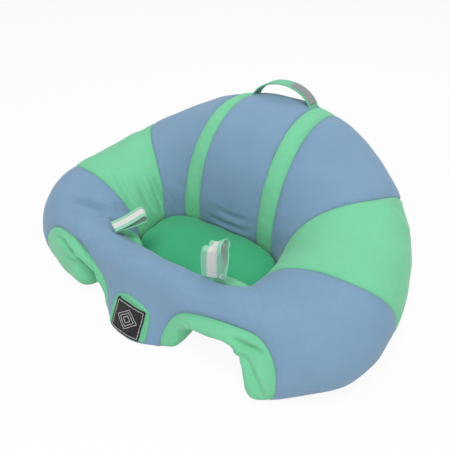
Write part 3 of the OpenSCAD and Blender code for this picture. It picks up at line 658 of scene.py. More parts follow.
def lining_panel(ring, side):
    """Sleeve of a leg opening, from its outer rim over the roof to the inner."""
    cell = bpy.context.scene.seat_sewing.cell * 0.9
    end = RIGHT_LEG_END if side > 0 else LEFT_LEG_END
    a = np.unique(np.concatenate([arch_samples(RIM_START, RIM_END),
                                  arch_samples(LEG_START, end)]))
    a = a[(a > RIM_START + 1e-4) & (a < RIM_END - 1e-4)]
    low = ring.angle_at(side * a, np.maximum(ring.rim(side * a) - HALF_SEAM, HEM))
    run = 0
    for s in (low, 180 - low, np.full(a.shape, 270.0)):
        run = run + run_along(ring.point(side * a, s, HEM))
    run /= 2.6
    n_cols = int(run[-1] / cell)
    a = np.interp(np.linspace(0, run[-1], n_cols + 1), run, a)
    low = ring.angle_at(side * a, np.maximum(ring.rim(side * a) - HALF_SEAM, HEM))
    rows = int(LINING_RUN / cell)
    t = graded(rows, 0.3)
    points = [ring.point(np.full(rows + 1, side * angle), mix(180 - l, 360 + l, t), HEM)
              for angle, l in zip(a, low)]
    points = np.concatenate(points)
    grid = points.reshape(n_cols + 1, rows + 1, 3)
    # The mouth's edges are rounded by averaging each point with its neighbours
    for _ in range(MOUTH_ROUNDING):
        new = grid.copy()
        new[1:-1, 1:-1] = mix(grid[1:-1, 1:-1], (grid[:-2, 1:-1] + grid[2:, 1:-1]
                              + grid[1:-1, :-2] + grid[1:-1, 2:]) / 4, 0.6)
        grid = new
    faces = grid_faces(rows + 1, n_cols + 1)
    if side < 0:
        faces = [f[::-1] for f in faces]
    name = "right_lining" if side > 0 else "left_lining"
    return Panel(name, grid.reshape(-1, 3), faces, edge_cells(n_cols + 1, rows + 1), "mint")


def seat_panel(ring):
    """Top and sides of the seat cushion in the cavity, in rings round its
    middle. It is held from halfway down its shoulder."""
    z = ring.z
    n = 150
    a = np.linspace(0, 360, n, endpoint=False)
    a = (a + 180) % 360 - 180
    rim = mix(z.cushion_front_h, z.cushion_back_h, ring.backness(a))
    r = z.cushion_edge_r
    ends = [ring.wall(np.array([x]), h, 0.0)[0]
            for x, h in ((0.0, z.cushion_front_h), (180.0, z.cushion_back_h))]
    middle = (ends[0] + ends[1]) / 2
    middle_h = (z.cushion_front_h + z.cushion_back_h) / 2

    def side_point(height, drawn):
        p = ring.wall(a, height, z.wall_gap)
        d = middle - p
        p = p + d / np.linalg.norm(d, axis=1)[:, None] * drawn
        return np.concatenate([p, np.broadcast_to(height, a.shape)[:, None]], 1)

    def shoulder(turn):
        return side_point(rim - r + r * sind(turn), r * (1 - cosd(turn)))

    rings = []
    edge = shoulder(90)
    for f in np.linspace(0, 1, CUSHION_RINGS + 2)[1:-1]:
        xy = mix(middle, edge[:, :2], f)
        height = mix(middle_h, edge[:, 2], f) + z.cushion_crown * (1 - f * f)
        rings.append(np.concatenate([xy, height[:, None]], 1))
    rings += [shoulder(turn) for turn in np.linspace(90, 0, 7)]
    rings += [side_point(mix(rim - r, COVER_LOW, t), 0) for t in np.linspace(0, 1, 6)[1:]]
    points = np.concatenate([[[*middle, middle_h + z.cushion_crown]], np.concatenate(rings)])
    faces = [(0, 1 + i, 1 + (i + 1) % n) for i in range(n)]
    for j in range(len(rings) - 1):
        for i in range(n):
            p, q = 1 + j * n + i, 1 + j * n + (i + 1) % n
            faces.append((p, p + n, q + n, q))
    held = np.zeros(len(points), bool)
    held[1 + (CUSHION_RINGS + 4) * n:] = True
    return Panel("seat_panel", points, faces, held, "seat")


def all_panels(ring):
    """Every sewn panel of the ring and the seat."""
    z = ring.z
    gap = HALF_SEAM
    inner, outer = z.band_x - z.band_w / 2, z.band_x + z.band_w / 2
    panels = [front_panel(ring), lining_panel(ring, 1), lining_panel(ring, -1), seat_panel(ring)]
    strips = (
        ("side_panel", lambda s: ring.beside(ring.side_front(s), s, 1),
         lambda s: ring.beside(ring.side_back(s), s, -1), "mint", 200 * MM),
        ("back_panel", lambda s: ring.beside(ring.side_back(s), s, 1),
         lambda s: ring.band_edge(outer + gap, s), "blue", 170 * MM),
        ("band", lambda s: ring.band_edge(outer - gap, s),
         lambda s: ring.band_edge(inner + gap, s), "mint", 34 * MM))
    for name, first, last, kind, width in strips:
        right = strip_panel(ring, f"right_{name}", first, last, kind, width)
        left = Panel(f"left_{name}", right.points * [-1, 1, 1],
                     [f[::-1] for f in right.faces], right.held.copy(), kind)
        panels += [right, left]
    panels.append(strip_panel(
        ring, "centre_back_panel", lambda s: ring.band_edge(inner - gap, s),
        lambda s: 360 - ring.band_edge(inner - gap, s), "blue", 120 * MM))
    return panels


# ---- Stuffing: one cloth simulation for all the panels ------------------

def new_mesh(name, points, faces):
    """Smooth-shaded mesh."""
    mesh = bpy.data.meshes.new(name)
    mesh.from_pydata([tuple(p) for p in points], [], faces)
    mesh.update()
    mesh.shade_smooth()
    return mesh


def new_object(name, mesh):
    """Object of a mesh at the origin, in the scene."""
    obj = bpy.data.objects.new(name, mesh)
    bpy.context.scene.collection.objects.link(obj)
    return obj


def evaluated_mesh(obj):
    """Plain mesh of an object with its modifiers applied."""
    graph = bpy.context.evaluated_depsgraph_get()
    return bpy.data.meshes.new_from_object(obj.evaluated_get(graph))


def mesh_points(mesh):
    """Points of a mesh, one in each row."""
    co = np.empty(len(mesh.vertices) * 3, np.float32)
    mesh.vertices.foreach_get("co", co)
    return co.reshape(-1, 3).astype(float)


def set_points(mesh, points):
    """Moves a mesh's points."""
    mesh.vertices.foreach_set("co", np.asarray(points, np.float32).ravel())
    mesh.update()


def mesh_normals(mesh):
    """Ways out of a mesh at its points."""
    n = np.empty(len(mesh.vertices) * 3, np.float32)
    mesh.vertex_normals.foreach_get("vector", n)
    return n.reshape(-1, 3).astype(float)


def fuller(points):
    """Points after the pushes of the stuffing."""
    moved = np.array(points, float)
    for middle, reach, push in FULLNESS:
        off = np.linalg.norm(points - np.array(middle) * MM, axis=1)
        moved += np.exp(-(off / (reach * MM)) ** 2)[:, None] * np.array(push) * MM
    return moved


def seam_ways(panels, normals):
    """Outward ways at the sewn edges, the same for both panels sewn there."""
    tree = KDTree(sum(len(p.points) for p in panels))
    owners, ways = [], []
    for number, (panel, way) in enumerate(zip(panels, normals)):
        for i in np.nonzero(panel.held)[0]:
            tree.insert(panel.points[i], len(owners))
            owners.append(number)
            ways.append(way[i])
    tree.balance()
    owners, ways = np.array(owners), np.array(ways)
    shared = []
    for panel, way in zip(panels, normals):
        common = np.array(way)
        for i in np.nonzero(panel.held)[0]:
            found = tree.find_range(panel.points[i], SEWN_TOGETHER)
            near = np.array([index for _, index, _ in found])
            total = sum(ways[near[owners[near] == o]].mean(0) for o in set(owners[near]))
            common[i] = total / max(np.linalg.norm(total), 1e-9)
        shared.append(common)
    return shared


def sink_seams(points, normals, seam_distance, sewing):
    """Draws cloth near its seams inwards, deepest on the seam itself."""
    depth = sewing.seam_depth * np.exp(-(seam_distance / sewing.seam_reach) ** 1.4)
    return points - normals * depth[:, None]


def simulate(obj, held, gathers, sewing):
    """Stuffs the panels: pressure from inside, seams held, some spare cloth."""
    scene = bpy.context.scene
    pins = obj.vertex_groups.new(name="pins")
    pins.add([int(i) for i in np.nonzero(held)[0]], 1.0, "REPLACE")
    spare = obj.vertex_groups.new(name="gathers")
    for i, weight in enumerate(gathers):
        spare.add([i], float(weight), "REPLACE")
    cloth = obj.modifiers.new("Cloth", "CLOTH")
    s = cloth.settings
    s.quality = 4
    s.mass = 0.3
    s.tension_stiffness = s.compression_stiffness = 15
    s.shear_stiffness = 8
    s.bending_stiffness = 0.4
    s.vertex_group_mass = "pins"
    s.use_pressure = True
    s.uniform_pressure_force = sewing.pressure
    s.vertex_group_shrink = "gathers"
    s.shrink_min = -sewing.slack
    s.shrink_max = -sewing.gather
    s.effector_weights.gravity = 0
    cloth.collision_settings.use_collision = False
    cloth.collision_settings.use_self_collision = False
    cloth.point_cache.frame_start, cloth.point_cache.frame_end = 1, SIM_FRAMES
    for step in range(1, SIM_FRAMES + 1):
        scene.frame_set(step)
    done = evaluated_mesh(obj)
    points = mesh_points(done)
    obj.modifiers.remove(cloth)
    bpy.data.meshes.remove(done)
    scene.frame_set(1)
    return points


def stuff(panels, sewing):
    """Sinks the seams and runs the simulation on all panels at once."""
    def panel_normals():
        found = []
        for panel in panels:
            mesh = new_mesh("pattern", panel.points, panel.faces)
            found.append(mesh_normals(mesh))
            bpy.data.meshes.remove(mesh)
        return seam_ways(panels, found)

    for panel in panels:
        panel.points = fuller(panel.points)
        panel.points[:, 2] = np.maximum(panel.points[:, 2], LEAST_HEIGHT)
    for panel, normals in zip(panels, panel_normals()):
        rims = panel.points[panel.held]
        if panel.kind == "seat":
            panel.seam = np.full(len(panel.points), 1.0)
        else:
            panel.seam = near_distance(panel.points, rims[rims[:, 2] > AT_FLOOR])
        panel.points = sink_seams(panel.points, normals, panel.seam, sewing)
    starts = np.cumsum([0] + [len(p.points) for p in panels])
    points = np.concatenate([p.points for p in panels])
    faces = [tuple(i + start for i in f) for p, start in zip(panels, starts) for f in p.faces]
    held = np.concatenate([p.held for p in panels])
    seam = np.concatenate([p.seam for p in panels])
    gathers = np.clip(1 - seam / GATHER_REACH, 0, 1) ** 1.5
    moved = points
    work = new_object("stuffing_work", new_mesh("stuffing_work", points, faces))
    moved = simulate(work, held, gathers, sewing)
    bpy.data.objects.remove(work)
    move = moved - points
    size = np.maximum(np.linalg.norm(move, axis=1), 1e-9)
    keep = sewing.most_move * np.tanh(size / sewing.most_move) / size
    moved = points + move * keep[:, None]
    moved[:, 2] = np.maximum(moved[:, 2], LEAST_HEIGHT)
    for panel, start, end in zip(panels, starts, starts[1:]):
        panel.points = moved[start:end]
    for panel, ways in zip(panels, panel_normals()):
        at_floor = panel.points[:, 2] < AT_FLOOR
        flat = at_floor & (ways[:, 2] < FACES_DOWN)
        ways[at_floor, 2] = 0
        ways[flat] = (0, 0, -1)
        panel.ways = ways * panel.held[:, None]


def divided(mesh):
    """The mesh after one level of subdivision."""
    obj = new_object("dividing", mesh)
    sub = obj.modifiers.new("Subdivision", "SUBSURF")
    sub.levels = sub.render_levels = 1
    done = evaluated_mesh(obj)
    bpy.data.objects.remove(obj)
    return done


def turn_in(mesh, allowance):
    """Turns the cloth in along its open edges, as a seam allowance."""
    bm = bmesh.new()
    bm.from_mesh(mesh)
    ways = bm.verts.layers.float_vector["way"]
    for share in (0.35, 0.65):
        rim = [e.link_loops[0] for e in bm.edges if e.is_boundary]
        turned = {}
        for v in (v for loop in rim for v in loop.edge.verts):
            if v not in turned:
                place = v.co - v[ways].normalized() * allowance * share
                place.z = max(place.z, LEAST_HEIGHT)
                turned[v] = bm.verts.new(place, v)
        for loop in rim:
            a, b = loop.vert, loop.link_loop_next.vert
            bm.faces.new((b, a, turned[a], turned[b]), loop.face)
    bm.to_mesh(mesh)
    bm.free()


def line_distance(points, normals, line):
    """Distance along the cloth to a line of points, and the share along it."""
    best = np.full(len(points), 9.0)
    along = np.zeros(len(points))
    steps = len(line) - 1
    for i in range(steps):
        a, b = line[i], line[i + 1]
        t = np.clip((points - a) @ (b - a) / ((b - a) @ (b - a)), 0, 1)
        off = points - a - t[:, None] * (b - a)
        depth = (off * normals).sum(1)
        off -= normals * depth[:, None]
        d = np.linalg.norm(off, axis=1) + np.maximum(np.abs(depth) - CREASE_FELT, 0)
        nearer = d < best
        best = np.where(nearer, d, best)
        along = np.where(nearer, (i + t) / steps, along)
    return best, along


def crease(points, normals, line, depth, width):
    """Presses a soft fold into the cloth along a line, with raised sides."""
    line = np.array(line, float) * MM
    depth, width = depth * MM, width * MM
    d, along = line_distance(points, normals, line)
    ends = np.sin(np.pi * np.clip(along, 0.02, 0.98)) ** 0.7
    ends = ends * np.exp(-np.maximum(d - 3 * width, 0) / width)
    profile = np.exp(-(d / width) ** 2) - 0.45 * np.exp(-((d - 2.1 * width) / width) ** 2)
    return points - normals * (depth * profile * ends)[:, None]


def uneven(points, normals, seam):
    """Slow unevenness of the stuffing, and small puckers beside the seams."""
    slow = np.array([noise.noise(Vector(p) / LUMP_SIZE) for p in points])
    fine = np.array([noise.noise(Vector(p) / PUCKER_SIZE) for p in points])
    height = LUMP * slow + PUCKER * fine * np.exp(-seam / PUCKER_REACH)
    return points + normals * (height * smooth(seam, 0, 7 * MM))[:, None]


def thicken(obj, thickness):
    """Live thickness on the inner side of a cloth."""
    wall = obj.modifiers.new("Cloth thickness", "SOLIDIFY")
    wall.thickness, wall.offset = thickness, -1


def cloth_piece(name, panel, material, creases):
    """Finished cover piece: divided, creased, turned in and given thickness."""
    sewing = bpy.context.scene.seat_sewing
    mesh = new_mesh(name, panel.points, panel.faces)
    seam = mesh.attributes.new("seam", "FLOAT", "POINT")
    seam.data.foreach_set("value", panel.seam.astype(np.float32))
    way = mesh.attributes.new("way", "FLOAT_VECTOR", "POINT")
    way.data.foreach_set("vector", panel.ways.astype(np.float32).ravel())
    mesh = divided(mesh)
    mesh.name = name
    seam = np.empty(len(mesh.vertices), np.float32)
    mesh.attributes["seam"].data.foreach_get("value", seam)
    points = uneven(mesh_points(mesh), mesh_normals(mesh), seam)
    set_points(mesh, points)
    for line, depth, width in creases:
        points = crease(points, mesh_normals(mesh), line, depth, width)
    points[:, 2] = np.maximum(points[:, 2], LEAST_HEIGHT)
    set_points(mesh, points)
    turn_in(mesh, sewing.allowance)
    mesh.attributes.remove(mesh.attributes["way"])
    mesh.shade_smooth()
    mesh.materials.clear()
    mesh.materials.append(material)
    obj = new_object(name, mesh)
    thicken(obj, sewing.cloth_t)
    return obj


# ---- Shader node groups -------------------------------------------------

def sockets(group, inputs, outputs):
    """Named inputs and outputs of a shader group."""
    kinds = {"value": "NodeSocketFloat", "colour": "NodeSocketColor", "vector": "NodeSocketVector"}
    for name, kind, default in inputs:
        made = group.interface.new_socket(name, in_out="INPUT", socket_type=kinds[kind])
        if default is not None:
            made.default_value = default
    for name, kind in outputs:
        group.interface.new_socket(name, in_out="OUTPUT", socket_type=kinds[kind])
    return group.nodes.new("NodeGroupInput"), group.nodes.new("NodeGroupOutput")


class Wires:
    """Short way to add and join the nodes of one tree."""

    def __init__(self, tree):
        self.tree = tree

    def put(self, socket, value):
        if isinstance(value, bpy.types.NodeSocket):
            self.tree.links.new(value, socket)
        elif value is not None:
            socket.default_value = value

    def math(self, operation, a, b=None, c=None, clamp=False):
        node = self.tree.nodes.new("ShaderNodeMath")
        node.operation, node.use_clamp = operation, clamp
        for socket, value in zip(node.inputs, (a, b, c)):
            self.put(socket, value)
        return node.outputs[0]

    def noise(self, vector, scale, detail=3.0, roughness=0.55):
        node = self.tree.nodes.new("ShaderNodeTexNoise")
        self.put(node.inputs["Vector"], vector)
        self.put(node.inputs["Scale"], scale)
        self.put(node.inputs["Detail"], detail)
        self.put(node.inputs["Roughness"], roughness)
        return node.outputs["Fac"]

    def remap(self, value, low, high, to_low=0.0, to_high=1.0):
        node = self.tree.nodes.new("ShaderNodeMapRange")
        for name, v in (("Value", value), ("From Min", low), ("From Max", high),
                        ("To Min", to_low), ("To Max", to_high)):
            self.put(node.inputs[name], v)
        return node.outputs["Result"]

    def mix(self, share, a, b, blend="MIX"):
        node = self.tree.nodes.new("ShaderNodeMix")
        node.data_type, node.blend_type = "RGBA", blend
        self.put(node.inputs[0], share)
        self.put(node.inputs[6], a)
        self.put(node.inputs[7], b)
        return node.outputs[2]

    def wave(self, vector, scale, direction):
        node = self.tree.nodes.new("ShaderNodeTexWave")
        node.wave_type, node.bands_direction, node.wave_profile = "BANDS", direction, "SIN"
        self.put(node.inputs["Vector"], vector)
        self.put(node.inputs["Scale"], scale)
        return node.outputs["Fac"]

    def attribute(self, name):
        node = self.tree.nodes.new("ShaderNodeAttribute")
        node.attribute_name = name
        return node.outputs["Fac"]

    def object_place(self):
        return self.tree.nodes.new("ShaderNodeTexCoord").outputs["Object"]

    def shaded(self, colour_in, light):
        """A colour made lighter or darker by a value."""
        grey = self.tree.nodes.new("ShaderNodeCombineColor")
        for socket in grey.inputs[:3]:
            self.put(socket, light)
        return self.mix(1.0, colour_in, grey.outputs[0], "MULTIPLY")


def make_tone_group():
    """Slow and fine changes of colour, with painted shade that darkens the cloth near the seams.
    """
    group = bpy.data.node_groups.new("Cloth Tone", "ShaderNodeTree")
    given, out = sockets(
        group,
        [("Place", "vector", None), ("Colour", "colour", (0.5, 0.5, 0.5, 1)),
         ("Patch Size", "value", 0.05), ("Patchiness", "value", 0.08),
         ("Speckle Size", "value", 0.0012), ("Speckle", "value", 0.1),
         ("Seam Distance", "value", 1.0), ("Seam Shade", "value", 0.25),
         ("Seam Width", "value", 0.004)],
        [("Colour", "colour")])
    w = Wires(group)
    g = given.outputs
    patches = w.noise(g["Place"], w.math("DIVIDE", 1.0, g["Patch Size"]), 2.0)
    speckle = w.noise(g["Place"], w.math("DIVIDE", 1.0, g["Speckle Size"]), 2.0, 0.7)
    light = w.math("MULTIPLY", w.math("SUBTRACT", patches, 0.5), g["Patchiness"])
    light = w.math("MULTIPLY_ADD", w.math("SUBTRACT", speckle, 0.5), g["Speckle"],
                   w.math("MULTIPLY_ADD", light, 2.0, 1.0))
    # Painted shade: the colour darkens towards each seam, where its groove lies in shade
    near = w.math("DIVIDE", g["Seam Distance"], g["Seam Width"])
    near = w.math("POWER", 2.718, w.math("MULTIPLY", near, -1.0))
    near = w.math("SUBTRACT", 1.0, w.math("MULTIPLY", near, g["Seam Shade"]))
    w.put(out.inputs["Colour"], w.shaded(g["Colour"], w.math("MULTIPLY", light, near)))
    return group


def make_knit_group():
    """Height of a fine brushed cloth: threads both ways under a soft nap."""
    group = bpy.data.node_groups.new("Brushed Cloth", "ShaderNodeTree")
    given, out = sockets(
        group,
        [("Place", "vector", None), ("Thread", "value", 0.0009),
         ("Thread Height", "value", 0.3), ("Nap Size", "value", 0.0016),
         ("Nap Height", "value", 0.5), ("Slub Size", "value", 0.012),
         ("Slub Height", "value", 0.4)],
        [("Height", "value")])
    w = Wires(group)
    g = given.outputs
    turn = w.math("DIVIDE", math.pi / 10, g["Thread"])
    one, two = (w.wave(g["Place"], turn, way) for way in ("DIAGONAL", "Z"))
    threads = w.math("MULTIPLY", w.math("ADD", one, two), g["Thread Height"])
    nap = w.noise(g["Place"], w.math("DIVIDE", 1.0, g["Nap Size"]), 3.0, 0.65)
    slub = w.noise(g["Place"], w.math("DIVIDE", 1.0, g["Slub Size"]), 2.0, 0.5)
    height = w.math("MULTIPLY_ADD", nap, g["Nap Height"], threads)
    w.put(out.inputs["Height"], w.math("MULTIPLY_ADD", slub, g["Slub Height"], height))
    return group


def make_weave_group():
    """Height and mask of a plain weave along a piece's own UV map."""
    group = bpy.data.node_groups.new("Plain Weave", "ShaderNodeTree")
    given, out = sockets(
        group,
        [("UV", "vector", None), ("Warp", "value", 0.001), ("Weft", "value", 0.001)],
        [("Height", "value"), ("Weft Mask", "value")])
    w = Wires(group)
    g = given.outputs
    split = group.nodes.new("ShaderNodeSeparateXYZ")
    w.put(split.inputs[0], g["UV"])
    across = w.math("DIVIDE", split.outputs["X"], g["Warp"])
    along = w.math("DIVIDE", split.outputs["Y"], g["Weft"])
    warp = w.math("ABSOLUTE", w.math("SINE", w.math("MULTIPLY", across, math.pi)))
    weft = w.math("ABSOLUTE", w.math("SINE", w.math("MULTIPLY", along, math.pi)))
    cells = w.math("ADD", w.math("FLOOR", across), w.math("FLOOR", along))
    over = w.math("PINGPONG", cells, 1.0)
    height = w.math("ADD", w.math("MULTIPLY", warp, over),
                    w.math("MULTIPLY", weft, w.math("SUBTRACT", 1.0, over)))
    w.put(out.inputs["Height"], height)
    w.put(out.inputs["Weft Mask"], over)
    return group


def make_worn_group():
    """Fine scratches and dull spots for the zip's metal."""
    group = bpy.data.node_groups.new("Handled Metal", "ShaderNodeTree")
    given, out = sockets(
        group,
        [("Place", "vector", None), ("Scratch Size", "value", 0.0006),
         ("Smooth", "value", 0.28), ("Dull", "value", 0.5)],
        [("Roughness", "value"), ("Height", "value")])
    w = Wires(group)
    g = given.outputs
    scratch = w.noise(g["Place"], w.math("DIVIDE", 1.0, g["Scratch Size"]), 4.0, 0.7)
    w.put(out.inputs["Roughness"], w.remap(scratch, 0.35, 0.7, g["Smooth"], g["Dull"]))
    w.put(out.inputs["Height"], scratch)
    return group


# ---- Materials ----------------------------------------------------------

def material_base(name, roughness, sheen=0.0, metallic=0.0):
    """A material, the wires of its tree and its shader."""
    material = bpy.data.materials.new(name)
    material.use_nodes = True
    tree = material.node_tree
    shader = tree.nodes["Principled BSDF"]
    shader.inputs["Roughness"].default_value = roughness
    shader.inputs["Metallic"].default_value = metallic
    shader.inputs["Specular IOR Level"].default_value = 0.25
    if sheen:
        shader.inputs["Sheen Weight"].default_value = sheen
        shader.inputs["Sheen Roughness"].default_value = 0.45
    return material, Wires(tree), shader


def bump(w, shader, height, distance, strength):
    """Joins a height to a shader's normal."""
    node = w.tree.nodes.new("ShaderNodeBump")
    node.inputs["Distance"].default_value = distance
    node.inputs["Strength"].default_value = strength
    w.put(node.inputs["Height"], height)
    w.put(shader.inputs["Normal"], node.outputs["Normal"])


def group_node(w, name, **values):
    """Places a node group with its own values."""
    node = w.tree.nodes.new("ShaderNodeGroup")
    node.node_tree = bpy.data.node_groups[name]
    for key, value in values.items():
        w.put(node.inputs[key.replace("_", " ")], value)
    return node


def cloth_material(name, tint, thread=0.9, seam_shade=0.12):
    """Matte brushed cloth with a soft sheen."""
    material, w, shader = material_base(name, 0.92, sheen=0.25)
    place = w.object_place()
    tone = group_node(w, "Cloth Tone", Place=place, Colour=tuple(tint),
                      Patchiness=0.05, Speckle=0.2, Speckle_Size=0.0014,
                      Seam_Shade=seam_shade, Seam_Width=0.0035)
    # Seam Shade is painted shade that darkens the cloth in the seams' grooves
    w.put(tone.inputs["Seam Distance"], w.attribute("seam"))
    w.put(shader.inputs["Base Color"], tone.outputs["Colour"])
    knit = group_node(w, "Brushed Cloth", Place=place, Thread=thread * MM)
    bump(w, shader, knit.outputs["Height"], 0.0004, 0.55)
    return material


def woven_material(name, tint, other=None, warp=0.5, weft=0.5, roughness=0.75, stripe=None):
    """Woven tape, label or ribbon on the piece's own UV map: thread steps in
    millimetres, and half the width of a stripe along its middle."""
    material, w, shader = material_base(name, roughness, sheen=0.1)
    uv = w.tree.nodes.new("ShaderNodeUVMap")
    uv.uv_map = "UVMap"
    weave = group_node(w, "Plain Weave", UV=uv.outputs["UV"], Warp=warp * MM, Weft=weft * MM)
    colour_in = tuple(tint)
    if stripe is not None:
        split = w.tree.nodes.new("ShaderNodeSeparateXYZ")
        w.put(split.inputs[0], uv.outputs["UV"])
        middle = w.math("ABSOLUTE", split.outputs["X"])
        share = w.remap(middle, stripe * 0.9, stripe * 1.1, 1.0, 0.0)
        colour_in = w.mix(share, tuple(tint), tuple(other))
    tone = group_node(w, "Cloth Tone", Place=w.object_place(), Colour=colour_in,
                      Patchiness=0.04, Speckle=0.12, Speckle_Size=0.0008, Seam_Shade=0.0)
    shade = w.remap(weave.outputs["Weft Mask"], 0.0, 1.0, 0.86, 1.0)
    w.put(shader.inputs["Base Color"], w.shaded(tone.outputs["Colour"], shade))
    bump(w, shader, weave.outputs["Height"], 0.0003, 0.7)
    return material


def thread_material(name, tint):
    """Twisted sewing thread."""
    material, w, shader = material_base(name, 0.6, sheen=0.1)
    place = w.object_place()
    tone = group_node(w, "Cloth Tone", Place=place, Colour=tuple(tint),
                      Patchiness=0.1, Speckle=0.2, Speckle_Size=0.0006, Seam_Shade=0.0)
    w.put(shader.inputs["Base Color"], tone.outputs["Colour"])
    bump(w, shader, w.wave(place, 900.0, "DIAGONAL"), 0.0002, 0.5)
    return material


def metal_material(name, tint):
    """Cast metal worn by handling."""
    material, w, shader = material_base(name, 0.35, metallic=1.0)
    shader.inputs["Base Color"].default_value = tuple(tint)
    worn = group_node(w, "Handled Metal", Place=w.object_place())
    w.put(shader.inputs["Roughness"], worn.outputs["Roughness"])
    bump(w, shader, worn.outputs["Height"], 0.00005, 0.4)
    return material


FINISH = {}  # Materials by their use


def make_finishes():
    """Every node group and material, built once."""
    c = bpy.context.scene.seat_colours
    make_tone_group()
    make_knit_group()
    make_weave_group()
    make_worn_group()
    FINISH["blue"] = cloth_material("Blue brushed cloth", c.blue)
    FINISH["mint"] = cloth_material("Mint brushed cloth", c.mint)
    # Painted shade: the cushion's cloth is a darker copy of the mint
    FINISH["seat"] = cloth_material("Cushion brushed cloth", c.seat)
    FINISH["base"] = cloth_material("Base cloth", c.base, thread=1.4, seam_shade=0.0)
    FINISH["webbing"] = woven_material("Webbing", c.webbing, warp=1.6, weft=1.1)
    FINISH["ribbon"] = woven_material("Striped ribbon", c.ribbon, c.ribbon_middle, weft=0.9,
                                      roughness=0.45, stripe=6.2 * MM)
    FINISH["label"] = woven_material("Woven label", c.label)
    FINISH["tag"] = woven_material("Woven tag", c.tag)
    FINISH["thread"] = thread_material("Pale thread", c.label_thread)
    FINISH["mint_thread"] = thread_material("Mint thread", c.webbing)
    FINISH["base_thread"] = thread_material("Base thread", c.base)
    FINISH["tape"] = woven_material("Zip tape", c.zip_tape, warp=0.7, weft=0.7)
    FINISH["teeth"] = thread_material("Zip teeth", c.zip_tape)
    FINISH["metal"] = metal_material("Zip metal", c.metal)


# ---- Geometry Nodes: rows of stitches and of zip teeth ------------------

def row_tree(name, section):
    """Tree that sets one small shape along a line at an even pitch. The shape
    is long, wide and high as its inputs say, and lies along the line."""
    tree = bpy.data.node_groups.new(name, "GeometryNodeTree")
    face = tree.interface
    ids = {"Geometry": face.new_socket("Geometry", in_out="INPUT",
                                       socket_type="NodeSocketGeometry").identifier}
    for label, default in (("Pitch", 0.003), ("Long", 0.002), ("Wide", 0.0008),
                           ("High", 0.0006), ("Seed", 1)):
        kind = "NodeSocketInt" if label == "Seed" else "NodeSocketFloat"
        made = face.new_socket(label, in_out="INPUT", socket_type=kind)
        made.default_value = default
        ids[label] = made.identifier
    made = face.new_socket("Material", in_out="INPUT", socket_type="NodeSocketMaterial")
    ids["Material"] = made.identifier
    face.new_socket("Geometry", in_out="OUTPUT", socket_type="NodeSocketGeometry")
    nodes, link = tree.nodes, tree.links.new

    def add(kind, **settings):
        node = nodes.new(kind)
        for key, value in settings.items():
            setattr(node, key, value)
        return node

    given, out = add("NodeGroupInput"), add("NodeGroupOutput")
    curve = add("GeometryNodeMeshToCurve")
    even = add("GeometryNodeResampleCurve", mode="LENGTH")
    points = add("GeometryNodeCurveToPoints", mode="EVALUATED")
    if section == "round":
        shape = add("GeometryNodeMeshUVSphere")
        shape.inputs["Segments"].default_value = 6
        shape.inputs["Rings"].default_value = 4
        shape.inputs["Radius"].default_value = 0.5
    else:
        shape = add("GeometryNodeMeshCube")
    size = add("ShaderNodeCombineXYZ")
    turn = add("FunctionNodeAlignRotationToVector", axis="X")
    lift = add("FunctionNodeAlignRotationToVector", axis="Z", pivot_axis="X")
    chance = add("FunctionNodeRandomValue", data_type="FLOAT")
    chance.inputs[2].default_value, chance.inputs[3].default_value = 0.92, 1.08
    scale = add("ShaderNodeVectorMath", operation="SCALE")
    placed = add("GeometryNodeInstanceOnPoints")
    real = add("GeometryNodeRealizeInstances")
    finish = add("GeometryNodeSetMaterial")
    smooth_on = add("GeometryNodeSetShadeSmooth")
    link(given.outputs["Geometry"], curve.inputs["Mesh"])
    link(curve.outputs["Curve"], even.inputs["Curve"])
    link(given.outputs["Pitch"], even.inputs["Length"])
    link(even.outputs["Curve"], points.inputs["Curve"])
    link(points.outputs["Points"], placed.inputs["Points"])
    link(points.outputs["Tangent"], turn.inputs["Vector"])
    normal = add("GeometryNodeInputNamedAttribute", data_type="FLOAT_VECTOR")
    normal.inputs["Name"].default_value = "up"
    link(turn.outputs["Rotation"], lift.inputs["Rotation"])
    link(normal.outputs["Attribute"], lift.inputs["Vector"])
    link(lift.outputs["Rotation"], placed.inputs["Rotation"])
    link(shape.outputs["Mesh"], placed.inputs["Instance"])
    for i, label in enumerate(("Long", "Wide", "High")):
        link(given.outputs[label], size.inputs[i])
    link(given.outputs["Seed"], chance.inputs["Seed"])
    link(size.outputs[0], scale.inputs[0])
    link(chance.outputs[1], scale.inputs["Scale"])
    link(scale.outputs[0], placed.inputs["Scale"])
    link(placed.outputs["Instances"], real.inputs["Geometry"])
    link(real.outputs["Geometry"], smooth_on.inputs["Geometry"])
    link(smooth_on.outputs["Geometry"], finish.inputs["Geometry"])
    link(given.outputs["Material"], finish.inputs["Material"])
    link(finish.outputs["Geometry"], out.inputs["Geometry"])
    return tree, ids


TREES = {}  # Geometry Nodes trees by the shape they repeat


def row_piece(name, lines, material, pitch, long, wide, high, section="round", seed=1):
    """Rows of stitches or teeth along lines of (point, up) pairs."""
    if section not in TREES:
        TREES[section] = row_tree(f"Row of {section} shapes", section)
    tree, ids = TREES[section]
    points, edges, ups = [], [], []
    for line in lines:
        start = len(points)
        points += [tuple(p) for p, _ in line]
        ups += [tuple(u) for _, u in line]
        edges += [(i, i + 1) for i in range(start, len(points) - 1)]
    mesh = bpy.data.meshes.new(name)
    mesh.from_pydata(points, edges, [])
    up = mesh.attributes.new("up", "FLOAT_VECTOR", "POINT")
    up.data.foreach_set("vector", np.array(ups, np.float32).ravel())
    obj = new_object(name, mesh)
    rows = obj.modifiers.new("Rows", "NODES")
    rows.node_group = tree
    for label, value in (("Pitch", pitch), ("Long", long), ("Wide", wide), ("High", high),
                         ("Seed", seed), ("Material", material)):
        rows[ids[label]] = value
    done = evaluated_mesh(obj)
    obj.modifiers.remove(rows)
    obj.data = done
    bpy.data.meshes.remove(mesh)
    done.name = name
    return obj


# ---- Small pieces in mesh code ------------------------------------------

